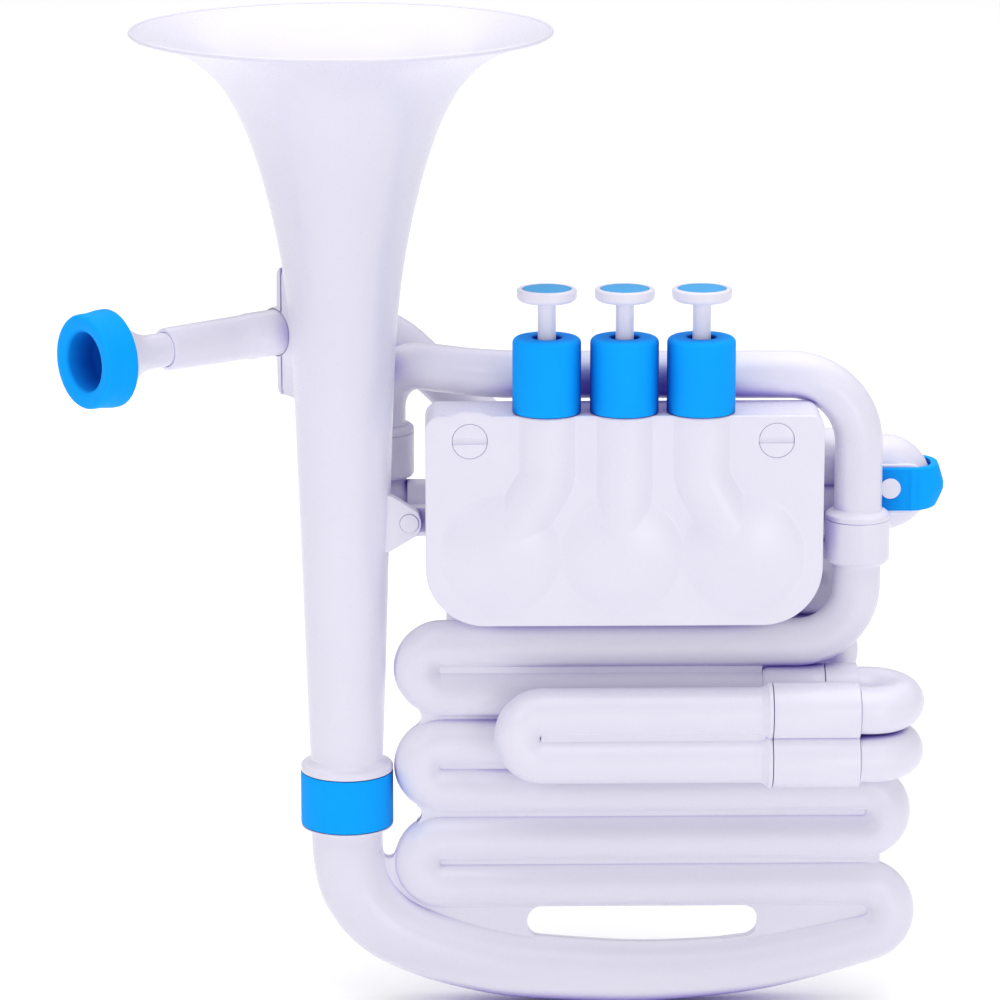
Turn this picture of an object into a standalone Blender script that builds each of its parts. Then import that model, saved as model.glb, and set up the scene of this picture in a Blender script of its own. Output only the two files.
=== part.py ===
"""Plastic horn held upright: flared bell, serpentine body of two moulded halves,
valve case with three press buttons, tuning slide, lead pipe and mouthpiece.

Metres, Z up. X runs from the mouthpiece to the valves, Y away from the player's
front, and Z starts at the lowest point of the bottom bow.
"""
import math

import bpy
import numpy as np
from mathutils import Vector

for old in list(bpy.data.objects):
    bpy.data.objects.remove(old, do_unlink=True)

# The parts are drawn about the valve case, then all moved so that the whole is centred on X = 0
CENTRING_X = -0.0030

# Fits
GAP = 0.0003                 # between pieces that touch
SLIP = 0.0004                # between a sliding tube and its socket
SPLIT = 0.00015              # half of the seam between the two body shells
GRAZING = "MANIFOLD"         # solver for forms whose faces graze each other

# Colours and finishes
WHITE = (0.86, 0.85, 0.90)
BLUE = (0.0, 0.30, 1.0)
INLAY_BLUE = (0.02, 0.30, 0.75)
STEEL = (0.62, 0.62, 0.64)

# Plain tubing
TUBE_R = 0.0093
BORE_R = 0.0076
SPIGOT_R = 0.0086
SOCKET_R = 0.01085
SIDES = 12
HOLLOW_SIDES = 10
BORE_SIDES = 8
TURNED = 14                  # facets round a turned piece
BEND_STEPS = 3               # facets in a quarter turn

# Serpentine body
FIRST_ROW_Z = 0.1482
ROW_PITCH = 0.0198
LEFT_BEND_X = -0.0227
RIGHT_BEND_X = 0.1437
UPRIGHT_X = 0.1398
UPRIGHT_BEND_R = 0.0233
BODY_NECK_TOP_Z = 0.1900
SHELL_SOCKET_X0 = 0.1026
SHELL_SOCKET_X1 = 0.1275
WEB_HALF = 0.0020
GRIP_X0 = 0.0108
GRIP_X1 = 0.1026
GRIP_TOP_Z = 0.0425
GRIP_BOTTOM_Z = 0.0180
GRIP_END_R = 0.0080

# Bottom bow, a cone bent through measured points of its centre line
BOW_BEND_X = 0.1440
BOW_BEND_Z = 0.0377
BOW_BEND_R = 0.0115
BOW = (
    (0.1234, 0.0204, 0.0107), (0.1019, 0.0159, 0.0113), (0.0760, 0.0133, 0.0119),
    (0.0491, 0.01245, 0.01245), (0.0132, 0.0147, 0.01295), (-0.0052, 0.0176, 0.01325),
    (-0.0251, 0.0234, 0.0137), (-0.0405, 0.0302, 0.0139), (-0.0489, 0.0366, 0.0140),
    (-0.0545, 0.0436, 0.0140), (-0.0585, 0.0520, 0.0140), (-0.0605, 0.0640, 0.0140),
)
BOW_NECK_TOP_Z = 0.0860
BOW_WALL = 0.0018

# Bell
BELL_X = -0.0605
BELL_WALL = 0.0018
BELL_TAIL_Z = 0.0870
BELL_RIM_Z = 0.3907
BELL_RIM_R = 0.0810
BELL_TAIL_R = 0.0137
# Its outer line from tail to rim: shares of the height and of the growth in radius
BELL_SHAPE = (
    (0.0, 0.0), (0.207, 0.034), (0.519, 0.079), (0.603, 0.098), (0.665, 0.123), (0.731, 0.171), (0.800, 0.241),
    (0.873, 0.340), (0.909, 0.415), (0.9355, 0.496), (0.961, 0.612), (0.978, 0.750), (0.993, 0.938), (0.9955, 0.994),
)
BELL_PROFILE = [(BELL_TAIL_Z + up * (BELL_RIM_Z - BELL_TAIL_Z), BELL_TAIL_R + out * (BELL_RIM_R - BELL_TAIL_R))
                for up, out in BELL_SHAPE]
BELL_SIDES = 24
FERRULE_R = 0.01815
FERRULE_Z0 = 0.0728
FERRULE_Z1 = 0.1000
FERRULE_SPLIT_Z = 0.0865
BAND_Z0 = 0.0754
BAND_Z1 = 0.0969
BAND_R = 0.01825
BAND_THICK = 0.0018

# Lug and pin that tie the bell to the valve block
LUG_PIN_X = -0.0354
LUG_PIN_Z = 0.1985
LUG_PIN_R = 0.00365
LUG_Y0 = -0.0070
LUG_Y1 = -0.0015
TAB_Y1 = 0.0045

# Lead pipe and mouthpiece, along one level line turned toward the player
PIPE_YAW = math.radians(38.0)
PIPE_DIR = Vector((math.cos(PIPE_YAW), math.sin(PIPE_YAW), 0.0))
PIPE_OFFSET = 0.0302         # pipe axis to bell axis
PIPE_Z = 0.2696
PIPE_FOOT = Vector((BELL_X - PIPE_OFFSET * math.sin(PIPE_YAW), PIPE_OFFSET * math.cos(PIPE_YAW), PIPE_Z))
PIPE_R = 0.0091
MOUTH_S = -0.1013            # distances along the pipe from the bell
RECEIVER_MOUTH_S = -0.0630
RECEIVER_JOINT_S = -0.0237
PIPE_CORNER_S = 0.0380
RIM_COVER_R = 0.0190
RIM_COVER_LENGTH = 0.0134
CUP_R = 0.0116
SHANK_R = 0.00645
MOUTHPIECE_LENGTH = 0.0580

# Bracket that carries the lead pipe, square to it: distances along the pipe, across it and up
PIPE_SIDE = Vector((math.sin(PIPE_YAW), -math.cos(PIPE_YAW), 0.0))
BRACKET_S0 = -0.0107
BRACKET_S1 = -0.0035
BRACKET_EDGE_T = 0.0008
BRACKET_SPLIT_T = 0.0029
BRACKET_REACH_T = 0.0180
BRACKET_RING_R = 0.0112
BRACKET_CORNER_R = 0.0030
BRACKET_Z0 = 0.2475
BRACKET_Z1 = 0.2985

# Top crook and its ferrules
CROOK_Z = 0.2557
CROOK_RIGHT_R = 0.0275
LEFT_FERRULE_X = -0.0460
LEFT_FERRULE_Y = 0.0285
LEFT_FERRULE_Z0 = 0.2099
LEFT_FERRULE_Z1 = 0.2306
LEFT_SPLIT_Z = 0.2203         # where the elbow and the crook meet inside the ferrule
RIGHT_FERRULE_Z0 = 0.1813
RIGHT_FERRULE_Z1 = 0.2016
SMALL_FERRULE_R = 0.01265
ELBOW_R = 0.0125
ELBOW_EASE_R = 0.0100
ELBOW_SLEEVE_R = 0.0114
ELBOW_SLEEVE_X0 = -0.0363

# Rear tubing behind the valve case
REAR_Y = 0.0250
REAR_ROW_HIGH_Z = 0.2169
REAR_ROW_LOW_Z = 0.1971
REAR_SOCKET_X0 = 0.1088
REAR_SOCKET_X1 = 0.1330
REAR_SOCKET_R = 0.0118
REAR_BEND_X = 0.1517
LOOP_R = 0.0075
LOOP_BORE_R = 0.0058
LOOP_SIDES = 8
LOOP1_END_X = 0.1359

# Valve block with three rotors
ROTOR_X = (-0.0003, 0.0463, 0.0930)
ROTOR_Z = 0.1924
ROTOR_R = 0.0125
ROTOR_Y0 = 0.0125
ROTOR_Y1 = 0.0336
SPINDLE_R = 0.0050
PASSAGE_Z = 0.1957            # main air passage through the block and the rotors
PASSAGE_R = 0.0048
BLOCK_X0 = -0.0225
BLOCK_X1 = 0.1085
BLOCK_Z0 = 0.1696
BLOCK_Z1 = 0.2072
BLOCK_Y0 = -0.0036
BLOCK_Y1 = 0.0370
CAP_Y0 = 0.0339
CAP_Y1 = 0.0378

# Valve case
CASE_X0 = -0.0291
CASE_X1 = 0.1236
CASE_Z0 = 0.1638
CASE_Z1 = 0.2467
CASE_FACE_Y = -0.0330
COVER_THICK = 0.0025
CASE_BACK_Y = -0.0042
CASE_WALL = 0.0022
CASE_LOW_R = 0.0230
CASE_TOP_R = 0.0055
DOME_R = 0.0232
DOME_HEIGHT = 0.0050
CHANNEL_HALF = 0.0105
CHANNEL_HEIGHT = 0.0044
CHANNEL_BEND_Z = 0.2240
SCREW_X = (-0.0121, 0.1052)
SCREW_Z = 0.2370
SCREW_R = 0.00685
SCREW_SHANK_R = 0.0030
SCREW_RECESS = 0.0017
COIN_SLOT = 0.0023
BOSS_R = 0.0114

# Push rods and buttons
ROD_X = (0.0174, 0.0471, 0.0765)
ROD_Y = -0.0250
ROD_R = 0.0035
TRAVEL = 0.0125
CRANK_R = TRAVEL / math.sqrt(2.0)
CRANK_PIN_R = 0.0020
PIN_CLEAR = 0.0004
FOOT_HALF_THICK = 0.0020
FOOT_HALF_HEIGHT = 0.0060
FLANGE_Z0 = 0.2620
FLANGE_Z1 = 0.2645
FLANGE_R = 0.0068
BRIDGE_Z0 = 0.2175
BRIDGE_Z1 = 0.2205
COLLAR_R = 0.01315
COLLAR_Z0 = 0.2470
COLLAR_Z1 = 0.2760
COLLAR_ROOF = 0.0030
COLLAR_BORE_R = 0.0084
COLLAR_HOLE_R = 0.0055
CAP_R = 0.0115
CAP_TOP_Z = 0.2949
CAP_THICK = 0.0048
INLAY_R = 0.0092
INLAY_RECESS = 0.0009

# Return springs
SPRING_R = 0.0055
SPRING_WIRE_R = 0.0005
SPRING_TURNS = 6
SPRING_STEPS = 8

# Front tuning slide
SLIDE_Y = -0.0250
SLIDE_HIGH_Z = 0.1273
SLIDE_LOW_Z = 0.1078
SLIDE_BEND_X = 0.0163
SLIDE_FLANGE_X0 = 0.1016
SLIDE_FLANGE_X1 = 0.1054
SLIDE_SPIGOT_END_X = 0.1350
RECEIVER_X0 = 0.1057
RECEIVER_X1 = 0.1395
RECEIVER_R = 0.0112
SIDE_CROOK_X = 0.1443        # centre of the two crooks that turn in depth
CROOK_COLLAR_X1 = 0.1407

# Drain key on the rear bend
KEY_PIVOT_X = 0.1536
KEY_PIVOT_Z = 0.2073
KEY_PIN_R = 0.0041
KEY_HALF_Y = 0.0101          # half width of the saddle it straddles
KEY_ARM = 0.0032
KEY_WALL_X = 0.1718          # inner face of its closed end
KEY_OUTLINE = (
    (0.1468, 0.1992), (0.1478, 0.1982), (0.1708, 0.1982), (0.1757, 0.2062), (0.1753, 0.2122), (0.1716, 0.2153),
    (0.1478, 0.2153), (0.1468, 0.2143),
)
SADDLE_OUTLINE = (
    (0.1468, 0.1960), (0.1625, 0.1960), (0.1680, 0.2010), (0.1698, 0.2070), (0.1680, 0.2125), (0.1632, 0.2163),
    (0.1468, 0.2163),
)
DRAIN_R = 0.0020


def material(name, colour, roughness):
    """A plain surface of one colour."""
    made = bpy.data.materials.new(name)
    made.use_nodes = True
    shader = made.node_tree.nodes["Principled BSDF"]
    shader.inputs["Base Color"].default_value = (*colour, 1.0)
    shader.inputs["Roughness"].default_value = roughness
    shader.inputs["Metallic"].default_value = 0.9 if colour == STEEL else 0.0
    made.diffuse_color = (*colour, 1.0)
    return made


def add(name, points, faces, colour=WHITE, roughness=0.35, pivot=(0.0, 0.0, 0.0)):
    """An object from points in world space, turned the right way out, with its origin on its pivot."""
    points = np.asarray(points, float)
    volume = 0.0
    for face in faces:
        a = points[face[0]]
        for b, c in zip(face[1:-1], face[2:]):
            volume += float(np.dot(a, np.cross(points[b], points[c])))
    if volume < 0.0:
        faces = [tuple(reversed(face)) for face in faces]
    mesh = bpy.data.meshes.new(name)
    mesh.from_pydata([tuple(p) for p in points - np.asarray(pivot, float)], [], faces)
    mesh.update()
    made = bpy.data.objects.new(name, mesh)
    made.location = pivot
    mesh.materials.append(material(name + "_surface", colour, roughness))
    bpy.context.scene.collection.objects.link(made)
    bpy.context.view_layer.update()
    return made


def ring_faces(count, sides, closed):
    """Quads between neighbouring rings, round to the first ring again when closed."""
    faces = []
    last = count if closed else count - 1
    for i in range(last):
        j = (i + 1) % count
        for k in range(sides):
            m = (k + 1) % sides
            faces.append((i * sides + k, i * sides + m, j * sides + m, j * sides + k))
    return faces


def combine(target, other, operation, solver="EXACT"):
    """Adds, cuts or intersects one solid with another, and removes the second."""
    step = target.modifiers.new("step", "BOOLEAN")
    step.operation = operation
    step.solver = solver
    step.object = other
    view = bpy.context.evaluated_depsgraph_get()
    mesh = bpy.data.meshes.new_from_object(target.evaluated_get(view))
    target.modifiers.clear()
    surface = target.data.materials[0]
    target.data = mesh
    mesh.materials.clear()
    mesh.materials.append(surface)
    bpy.data.objects.remove(other, do_unlink=True)
    bpy.context.view_layer.update()
    return target


def join(target, *others, solver="EXACT"):
    for other in others:
        combine(target, other, "UNION", solver)
    return target


def cut(target, *others, solver="EXACT"):
    for other in others:
        combine(target, other, "DIFFERENCE", solver)
    return target


def frame_of(direction):
    """Two unit vectors square to a direction, the first one level where it can be."""
    direction = Vector(direction).normalized()
    up = Vector((0.0, 0.0, 1.0)) if abs(direction.z) < 0.9 else Vector((0.0, 1.0, 0.0))
    side = direction.cross(up).normalized()
    return side, side.cross(direction)


def revolve(name, profile, base, axis, sides=TURNED, colour=WHITE, roughness=0.35, pivot=(0.0, 0.0, 0.0)):
    """Turns a profile of (radius, height) about an axis from a base point; radius 0 at an end closes it."""
    base = Vector(base)
    axis = Vector(axis).normalized()
    side, other = frame_of(axis)
    points, rings, poles = [], [], []
    for radius, height in profile:
        centre = base + axis * height
        if radius <= 0.0:
            poles.append((len(rings), centre))
            continue
        for k in range(sides):
            turn = 2.0 * math.pi * k / sides
            points.append(centre + (side * math.cos(turn) + other * math.sin(turn)) * radius)
        rings.append(height)
    faces = ring_faces(len(rings), sides, closed=not poles)
    for place, centre in poles:
        points.append(centre)
        first = 0 if place == 0 else (len(rings) - 1) * sides
        for k in range(sides):
            edge = (first + k, first + (k + 1) % sides)
            faces.append((edge[1], edge[0], len(points) - 1) if place == 0 else (*edge, len(points) - 1))
    return add(name, points, faces, colour, roughness, pivot)


def rod(name, start, end, radius, sides=TURNED, **look):
    """A plain round bar between two points."""
    start, end = Vector(start), Vector(end)
    length = (end - start).length
    profile = ((0.0, 0.0), (radius, 0.0), (radius, length), (0.0, length))
    return revolve(name, profile, start, end - start, sides, **look)


def pipe(name, start, end, outer, inner, sides=TURNED, **look):
    """A plain hollow bar between two points."""
    start, end = Vector(start), Vector(end)
    length = (end - start).length
    profile = ((outer, 0.0), (outer, length), (inner, length), (inner, 0.0))
    return revolve(name, profile, start, end - start, sides, **look)


def prism(name, outline, low, high, axis="Y", colour=WHITE, roughness=0.35, pivot=(0.0, 0.0, 0.0)):
    """A flat outline given thickness along one axis; the outline's pairs are the two other axes in order."""
    place = {"X": lambda a, b, t: (t, a, b), "Y": lambda a, b, t: (a, t, b), "Z": lambda a, b, t: (a, b, t)}[axis]
    count = len(outline)
    points = [place(a, b, low) for a, b in outline] + [place(a, b, high) for a, b in outline]
    faces = [tuple(range(count)), tuple(reversed(range(count, 2 * count)))]
    for k in range(count):
        m = (k + 1) % count
        faces.append((m, k, count + k, count + m))
    return add(name, points, faces, colour, roughness, pivot)


def block(name, low, high, **look):
    """A box between two corners."""
    outline = ((low[0], low[2]), (high[0], low[2]), (high[0], high[2]), (low[0], high[2]))
    return prism(name, outline, low[1], high[1], **look)


def rounded(x0, z0, x1, z1, radii, steps=5):
    """A rectangle's outline with one corner radius each, from lower left, counter-clockwise."""
    corners = ((x0, z0, 180), (x1, z0, 270), (x1, z1, 0), (x0, z1, 90))
    outline = []
    for (x, z, start), radius in zip(corners, radii):
        cx = x + radius if x == x0 else x - radius
        cz = z + radius if z == z0 else z - radius
        for k in range(steps + 1):
            turn = math.radians(start + 90.0 * k / steps)
            outline.append((cx + radius * math.cos(turn), cz + radius * math.sin(turn)))
    return outline


def across_pipe(name, outline, near, far):
    """An outline square to the lead pipe, in distances toward the front and heights, given thickness along it."""
    count = len(outline)
    points = []
    for s in (near, far):
        points += [PIPE_FOOT + PIPE_DIR * s + PIPE_SIDE * t + Vector((0.0, 0.0, z - PIPE_Z)) for t, z in outline]
    faces = [tuple(range(count)), tuple(reversed(range(count, 2 * count)))]
    faces += [((k + 1) % count, k, count + k, count + (k + 1) % count) for k in range(count)]
    return add(name, points, faces)


def along_pipe(name, radius):
    """A round bar on the lead pipe's line, longer than the bracket."""
    start, end = BRACKET_S0 - 0.005, BRACKET_S1 + 0.005
    return rod(name, PIPE_FOOT + PIPE_DIR * start, PIPE_FOOT + PIPE_DIR * end, radius)


def route(corners, bends, steps=BEND_STEPS):
    """A line through corners, each inner one rounded to its bend radius."""
    corners = [Vector(c) for c in corners]
    path = [corners[0]]
    for before, corner, after, radius in zip(corners, corners[1:], corners[2:], bends):
        into = (corner - before).normalized()
        out = (after - corner).normalized()
        angle = into.angle(out)
        start = corner - into * radius * math.tan(angle / 2.0)
        centre_way = (out - into).normalized()
        centre = corner + centre_way * radius / math.cos(angle / 2.0)
        arm = start - centre
        count = max(2, round(steps * angle / (math.pi / 2.0)))
        for k in range(count + 1):
            turn = angle * k / count
            path.append(centre + arm * math.cos(turn) + into * radius * math.sin(turn))
    path.append(corners[-1])
    clean = [path[0]]
    for p in path[1:]:
        if (p - clean[-1]).length > 1e-5:
            clean.append(p)
    return clean


def rings_along(path, radii, sides, flat=1.0):
    """Circles of the given radii square to a path, carried along it without twisting."""
    path = [Vector(p) for p in path]
    count = len(path)
    radii = [radii] * count if isinstance(radii, float) else list(radii)
    side = None
    rings = []
    for i, p in enumerate(path):
        ahead = path[min(i + 1, count - 1)] - p
        behind = p - path[max(i - 1, 0)]
        if i == 0:
            along = ahead.normalized()
        elif i == count - 1:
            along = behind.normalized()
        else:
            along = (ahead.normalized() + behind.normalized()).normalized()
        if side is None:
            side = Vector((0.0, 1.0, 0.0)) if abs(along.y) < 0.9 else Vector((0.0, 0.0, 1.0))
        side = (side - along * side.dot(along)).normalized()
        other = along.cross(side)
        for k in range(sides):
            turn = 2.0 * math.pi * k / sides
            rings.append(p + side * radii[i] * flat * math.cos(turn) + other * radii[i] * math.sin(turn))
    return rings


def solid_tube(name, path, radii, sides=SIDES, flat=1.0, **look):
    """A bar along a path, closed with flat ends."""
    points = rings_along(path, radii, sides, flat)
    count = len(path)
    faces = ring_faces(count, sides, closed=False)
    faces.append(tuple(reversed(range(sides))))
    faces.append(tuple(range((count - 1) * sides, count * sides)))
    return add(name, points, faces, **look)


def hollow_tube(name, path, outer, inner, sides=HOLLOW_SIDES, **look):
    """A tube along a path, open at both ends."""
    points = rings_along(path, outer, sides)
    back = rings_along(path, inner, sides)
    count = len(path)
    for i in reversed(range(count)):
        points += back[i * sides:(i + 1) * sides]
    return add(name, points, ring_faces(2 * count, sides, closed=True), **look)


def spline(points, steps=2):
    """A smooth curve through points of any dimension."""
    points = [np.array(p, float) for p in points]
    points = [2.0 * points[0] - points[1]] + points + [2.0 * points[-1] - points[-2]]
    curve = []
    for a, b, c, d in zip(points, points[1:], points[2:], points[3:]):
        for k in range(steps):
            t = k / steps
            curve.append(0.5 * (2.0 * b + (c - a) * t + (2.0 * a - 5.0 * b + 4.0 * c - d) * t * t
                                + (3.0 * b - a - 3.0 * c + d) * t ** 3))
    curve.append(points[-2])
    return curve


def row_z(number):
    return FIRST_ROW_Z - ROW_PITCH * number


# Serpentine body: outer form, bore, then the two halves

def body_paths(socket_end, steps=BEND_STEPS, bow_steps=2):
    """Centre lines and radii: the upright with rows 1 and 2, then rows 3 to 6 and the bow."""
    bend = ROW_PITCH / 2.0
    left = LEFT_BEND_X - bend
    right = RIGHT_BEND_X + bend
    first = route(
        [(UPRIGHT_X, 0.0, BODY_NECK_TOP_Z), (UPRIGHT_X, 0.0, row_z(0)), (left, 0.0, row_z(0)),
         (left, 0.0, row_z(1)), (socket_end, 0.0, row_z(1))],
        [UPRIGHT_BEND_R, bend, bend], steps)
    second = route(
        [(socket_end, 0.0, row_z(2)), (left, 0.0, row_z(2)), (left, 0.0, row_z(3)),
         (right, 0.0, row_z(3)), (right, 0.0, row_z(4)), (left, 0.0, row_z(4)),
         (left, 0.0, row_z(5)), (BOW_BEND_X - 0.004, 0.0, row_z(5))],
        [bend] * 6, steps)
    radii = [TUBE_R] * len(second)
    count = 2 * steps
    for k in range(count + 1):
        turn = math.radians(90.0 - 165.0 * k / count)
        second.append(Vector((BOW_BEND_X + BOW_BEND_R * math.cos(turn), 0.0, BOW_BEND_Z + BOW_BEND_R * math.sin(turn))))
        radii.append(TUBE_R + 0.0007 * k / count)
    for x, z, r in spline(BOW, bow_steps):
        second.append(Vector((x, 0.0, z)))
        radii.append(float(r))
    second.append(Vector((BELL_X, 0.0, BOW_NECK_TOP_Z)))
    radii.append(BOW[-1][2])
    return first, second, radii


def web_plate():
    """The thin web between the rows, with the opening for the hand over the bow."""
    outline = [
        (-0.022, row_z(0)), (-0.031, 0.143), (-0.031, 0.0625), (-0.040, 0.0600), (-0.050, 0.0600),
        (-0.0585, 0.052), (-0.0500, 0.0375), (-0.0405, 0.0302), (-0.0251, 0.0234), (0.0132, 0.0147),
        (0.0491, 0.01245), (0.1019, 0.0159), (0.1234, 0.0204), (0.1440, 0.0262), (0.1510, 0.0310),
        (0.1510, row_z(4)), (0.1437, row_z(3)), (0.1240, 0.0960), (0.1240, row_z(1)), (0.1130, 0.1350),
        (0.1130, row_z(0)),
    ]
    web = prism("web", outline, -WEB_HALF, WEB_HALF)
    grip = prism("grip", rounded(GRIP_X0, GRIP_BOTTOM_Z, GRIP_X1, GRIP_TOP_Z, (GRIP_END_R,) * 4), -0.01, 0.01)
    return cut(web, grip)


def body_form():
    """The whole serpentine as one form."""
    first, second, radii = body_paths(SHELL_SOCKET_X1 - 0.004)
    form = solid_tube("body", first, TUBE_R)
    join(form, web_plate(), solid_tube("rows", second, radii), solver=GRAZING)
    for number in (1, 2):
        z = row_z(number)
        profile = ((0.0, 0.0), (0.0078, 0.0), (SOCKET_R, 0.0022), (SOCKET_R, SHELL_SOCKET_X1 - SHELL_SOCKET_X0),
                   (0.0, SHELL_SOCKET_X1 - SHELL_SOCKET_X0))
        join(form, revolve("socket", profile, (SHELL_SOCKET_X0, 0.0, z), (1.0, 0.0, 0.0)), solver=GRAZING)
    # The post that meets the underside of the valve block
    join(form, block("post", (-0.0210, 0.0010, 0.1480), (-0.0170, 0.0085, BLOCK_Z0 - GAP)), solver=GRAZING)
    first, second, radii = body_paths(SHELL_SOCKET_X0 + 0.008, 2, 1)
    beyond = Vector((0.0, 0.0, 0.002))
    first[0] = first[0] + beyond
    second[-1] = second[-1] + beyond
    cut(form, solid_tube("bore", first, BORE_R, BORE_SIDES), solver=GRAZING)
    inner = [min(BORE_R + 0.35 * (r - TUBE_R) * 3.0, r - BOW_WALL) for r in radii]
    cut(form, solid_tube("bore", second, inner, BORE_SIDES), solver=GRAZING)
    for number in (1, 2):
        z = row_z(number)
        seat = rod("seat", (SHELL_SOCKET_X0 + 0.002, 0.0, z), (SHELL_SOCKET_X1 + 0.01, 0.0, z), SPIGOT_R + SLIP)
        cut(form, seat, solver=GRAZING)
    return form


def half_of(form, name, front):
    low, high = ((-0.2, -0.1, -0.01), (0.2, -SPLIT, 0.3)) if front else ((-0.2, SPLIT, -0.01), (0.2, 0.1, 0.3))
    half = add(name, [tuple(v.co) for v in form.data.vertices], [tuple(p.vertices) for p in form.data.polygons])
    return combine(half, block("half", low, high), "INTERSECT", GRAZING)


body = body_form()
half_of(body, "body_front_shell", True)
half_of(body, "body_rear_shell", False)
bpy.data.objects.remove(body, do_unlink=True)

# Bell, its ferrule and the soft band

outer = [(r, z) for z, r in BELL_PROFILE]
bell = revolve(
    "bell",
    [(0.0, BELL_TAIL_Z)] + outer + [(BELL_RIM_R, BELL_RIM_Z - 0.0009), (BELL_RIM_R, BELL_RIM_Z - 0.0004),
                                   (BELL_RIM_R - 0.0004, BELL_RIM_Z), (0.0, BELL_RIM_Z)],
    (BELL_X, 0.0, 0.0), (0.0, 0.0, 1.0), BELL_SIDES)
lug = [
    (-0.0500, 0.2095), (-0.0424, 0.2095), (-0.0325, 0.2030), (-0.0303, 0.2000), (-0.0303, 0.1968),
    (-0.0322, 0.1942), (-0.0435, 0.1868), (-0.0500, 0.1868),
]
join(bell, prism("lug", lug, LUG_Y0, LUG_Y1))
join(bell, across_pipe("plate", rounded(
    BRACKET_SPLIT_T + GAP, BRACKET_Z0, BRACKET_REACH_T, BRACKET_Z1, (BRACKET_CORNER_R, 0.001, 0.001, BRACKET_CORNER_R), 3),
    BRACKET_S0, BRACKET_S1))
cut(bell, along_pipe("pipe hole", PIPE_R + GAP))
cut(bell, rod("pin hole", (LUG_PIN_X, -0.02, LUG_PIN_Z), (LUG_PIN_X, 0.02, LUG_PIN_Z), LUG_PIN_R + GAP, 10))
inside = [(0.0, BELL_TAIL_Z - 0.0070), (BELL_TAIL_R - BELL_WALL, BELL_TAIL_Z - 0.0070)]
inside += [(r - BELL_WALL, z) for z, r in BELL_PROFILE[2:9:2]]
inside += [(r - 0.0011, z + 0.0014) for z, r in BELL_PROFILE[9:]]
inside += [(BELL_RIM_R - 0.0013, BELL_RIM_Z + 0.0023), (0.0, BELL_RIM_Z + 0.0023)]
cut(bell, revolve("bell bore", inside, (BELL_X, 0.0, 0.0), (0.0, 0.0, 1.0), BELL_SIDES))

groove_r = BAND_R - BAND_THICK - GAP
revolve("bell_ferrule", (
    (0.01500, FERRULE_Z0), (FERRULE_R, FERRULE_Z0 + 0.0019), (FERRULE_R, BAND_Z0 - GAP), (groove_r, BAND_Z0 - GAP),
    (groove_r, BAND_Z1 + GAP), (FERRULE_R, BAND_Z1 + GAP), (FERRULE_R, FERRULE_Z1 - 0.0010), (FERRULE_R - 0.0012, FERRULE_Z1),
    (0.01500, FERRULE_Z1), (0.01440, FERRULE_SPLIT_Z), (BOW[-1][2] + GAP, FERRULE_SPLIT_Z), (BOW[-1][2] + GAP, FERRULE_Z0)),
    (BELL_X, 0.0, 0.0), (0.0, 0.0, 1.0), BELL_SIDES)
pipe("bell_band", (BELL_X, 0.0, BAND_Z0), (BELL_X, 0.0, BAND_Z1), BAND_R, BAND_R - BAND_THICK, BELL_SIDES,
     colour=BLUE, roughness=0.5)

# Top crook and the two small ferrules

crook = route(
    [(LEFT_FERRULE_X, LEFT_FERRULE_Y, LEFT_SPLIT_Z + GAP), (LEFT_FERRULE_X, LEFT_FERRULE_Y, CROOK_Z), (-0.004, 0.0022, CROOK_Z),
     (UPRIGHT_X, 0.0, CROOK_Z), (UPRIGHT_X, 0.0, BODY_NECK_TOP_Z + 0.0006)],
    [0.0190, 0.0600, CROOK_RIGHT_R], 4)
hollow_tube("top_crook", crook, TUBE_R, BORE_R)
for name, x, y, z0, z1 in (("right_ferrule", UPRIGHT_X, 0.0, RIGHT_FERRULE_Z0, RIGHT_FERRULE_Z1),
                           ("left_ferrule", LEFT_FERRULE_X, LEFT_FERRULE_Y, LEFT_FERRULE_Z0, LEFT_FERRULE_Z1)):
    revolve(name, (
        (SMALL_FERRULE_R - 0.0012, z0), (SMALL_FERRULE_R, z0 + 0.0012), (SMALL_FERRULE_R, z1 - 0.0036),
        (SMALL_FERRULE_R - 0.0007, z1 - 0.0010), (SMALL_FERRULE_R - 0.0019, z1), (TUBE_R + GAP, z1), (TUBE_R + GAP, z0)),
        (x, y, 0.0), (0.0, 0.0, 1.0))

# Mouthpiece, its soft rim cover, the receiver and the lead pipe

mouth = PIPE_FOOT + PIPE_DIR * MOUTH_S
revolve("mouthpiece_rim_cover", (
    (0.0148, RIM_COVER_LENGTH), (0.0186, RIM_COVER_LENGTH), (RIM_COVER_R, 0.0129), (RIM_COVER_R, 0.0108), (0.0182, 0.0060),
    (0.0184, 0.0016), (0.0170, 0.0001), (0.0150, 0.0), (0.0128, 0.0004), (CUP_R, 0.0020), (CUP_R, 0.0029), (0.0148, 0.0029)),
    mouth, PIPE_DIR, 16, colour=BLUE, roughness=0.5, pivot=tuple(mouth))
revolve("mouthpiece", (
    (0.0118, 0.0032), (0.0144, 0.0032), (0.0145, 0.0135), (0.0134, 0.0185), (0.0117, 0.0220), (0.0098, 0.0250),
    (0.0078, 0.0272), (0.0067, 0.0295), (SHANK_R, 0.0320), (0.00625, MOUTHPIECE_LENGTH), (0.0048, MOUTHPIECE_LENGTH),
    (0.0030, 0.0245), (0.0055, 0.0205), (0.0088, 0.0160), (0.0110, 0.0090)),
    mouth, PIPE_DIR, 16, pivot=tuple(mouth))
length = RECEIVER_JOINT_S - RECEIVER_MOUTH_S
revolve("mouthpiece_receiver", (
    (0.0069, 0.0), (0.0075, 0.0), (0.00815, 0.0010), (0.0087, length - GAP), (0.0070, length - GAP), (0.0070, length + 0.007),
    (0.0058, length + 0.007), (0.0058, 0.0230), (0.0069, 0.0230)),
    PIPE_FOOT + PIPE_DIR * RECEIVER_MOUTH_S, PIPE_DIR)
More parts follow.
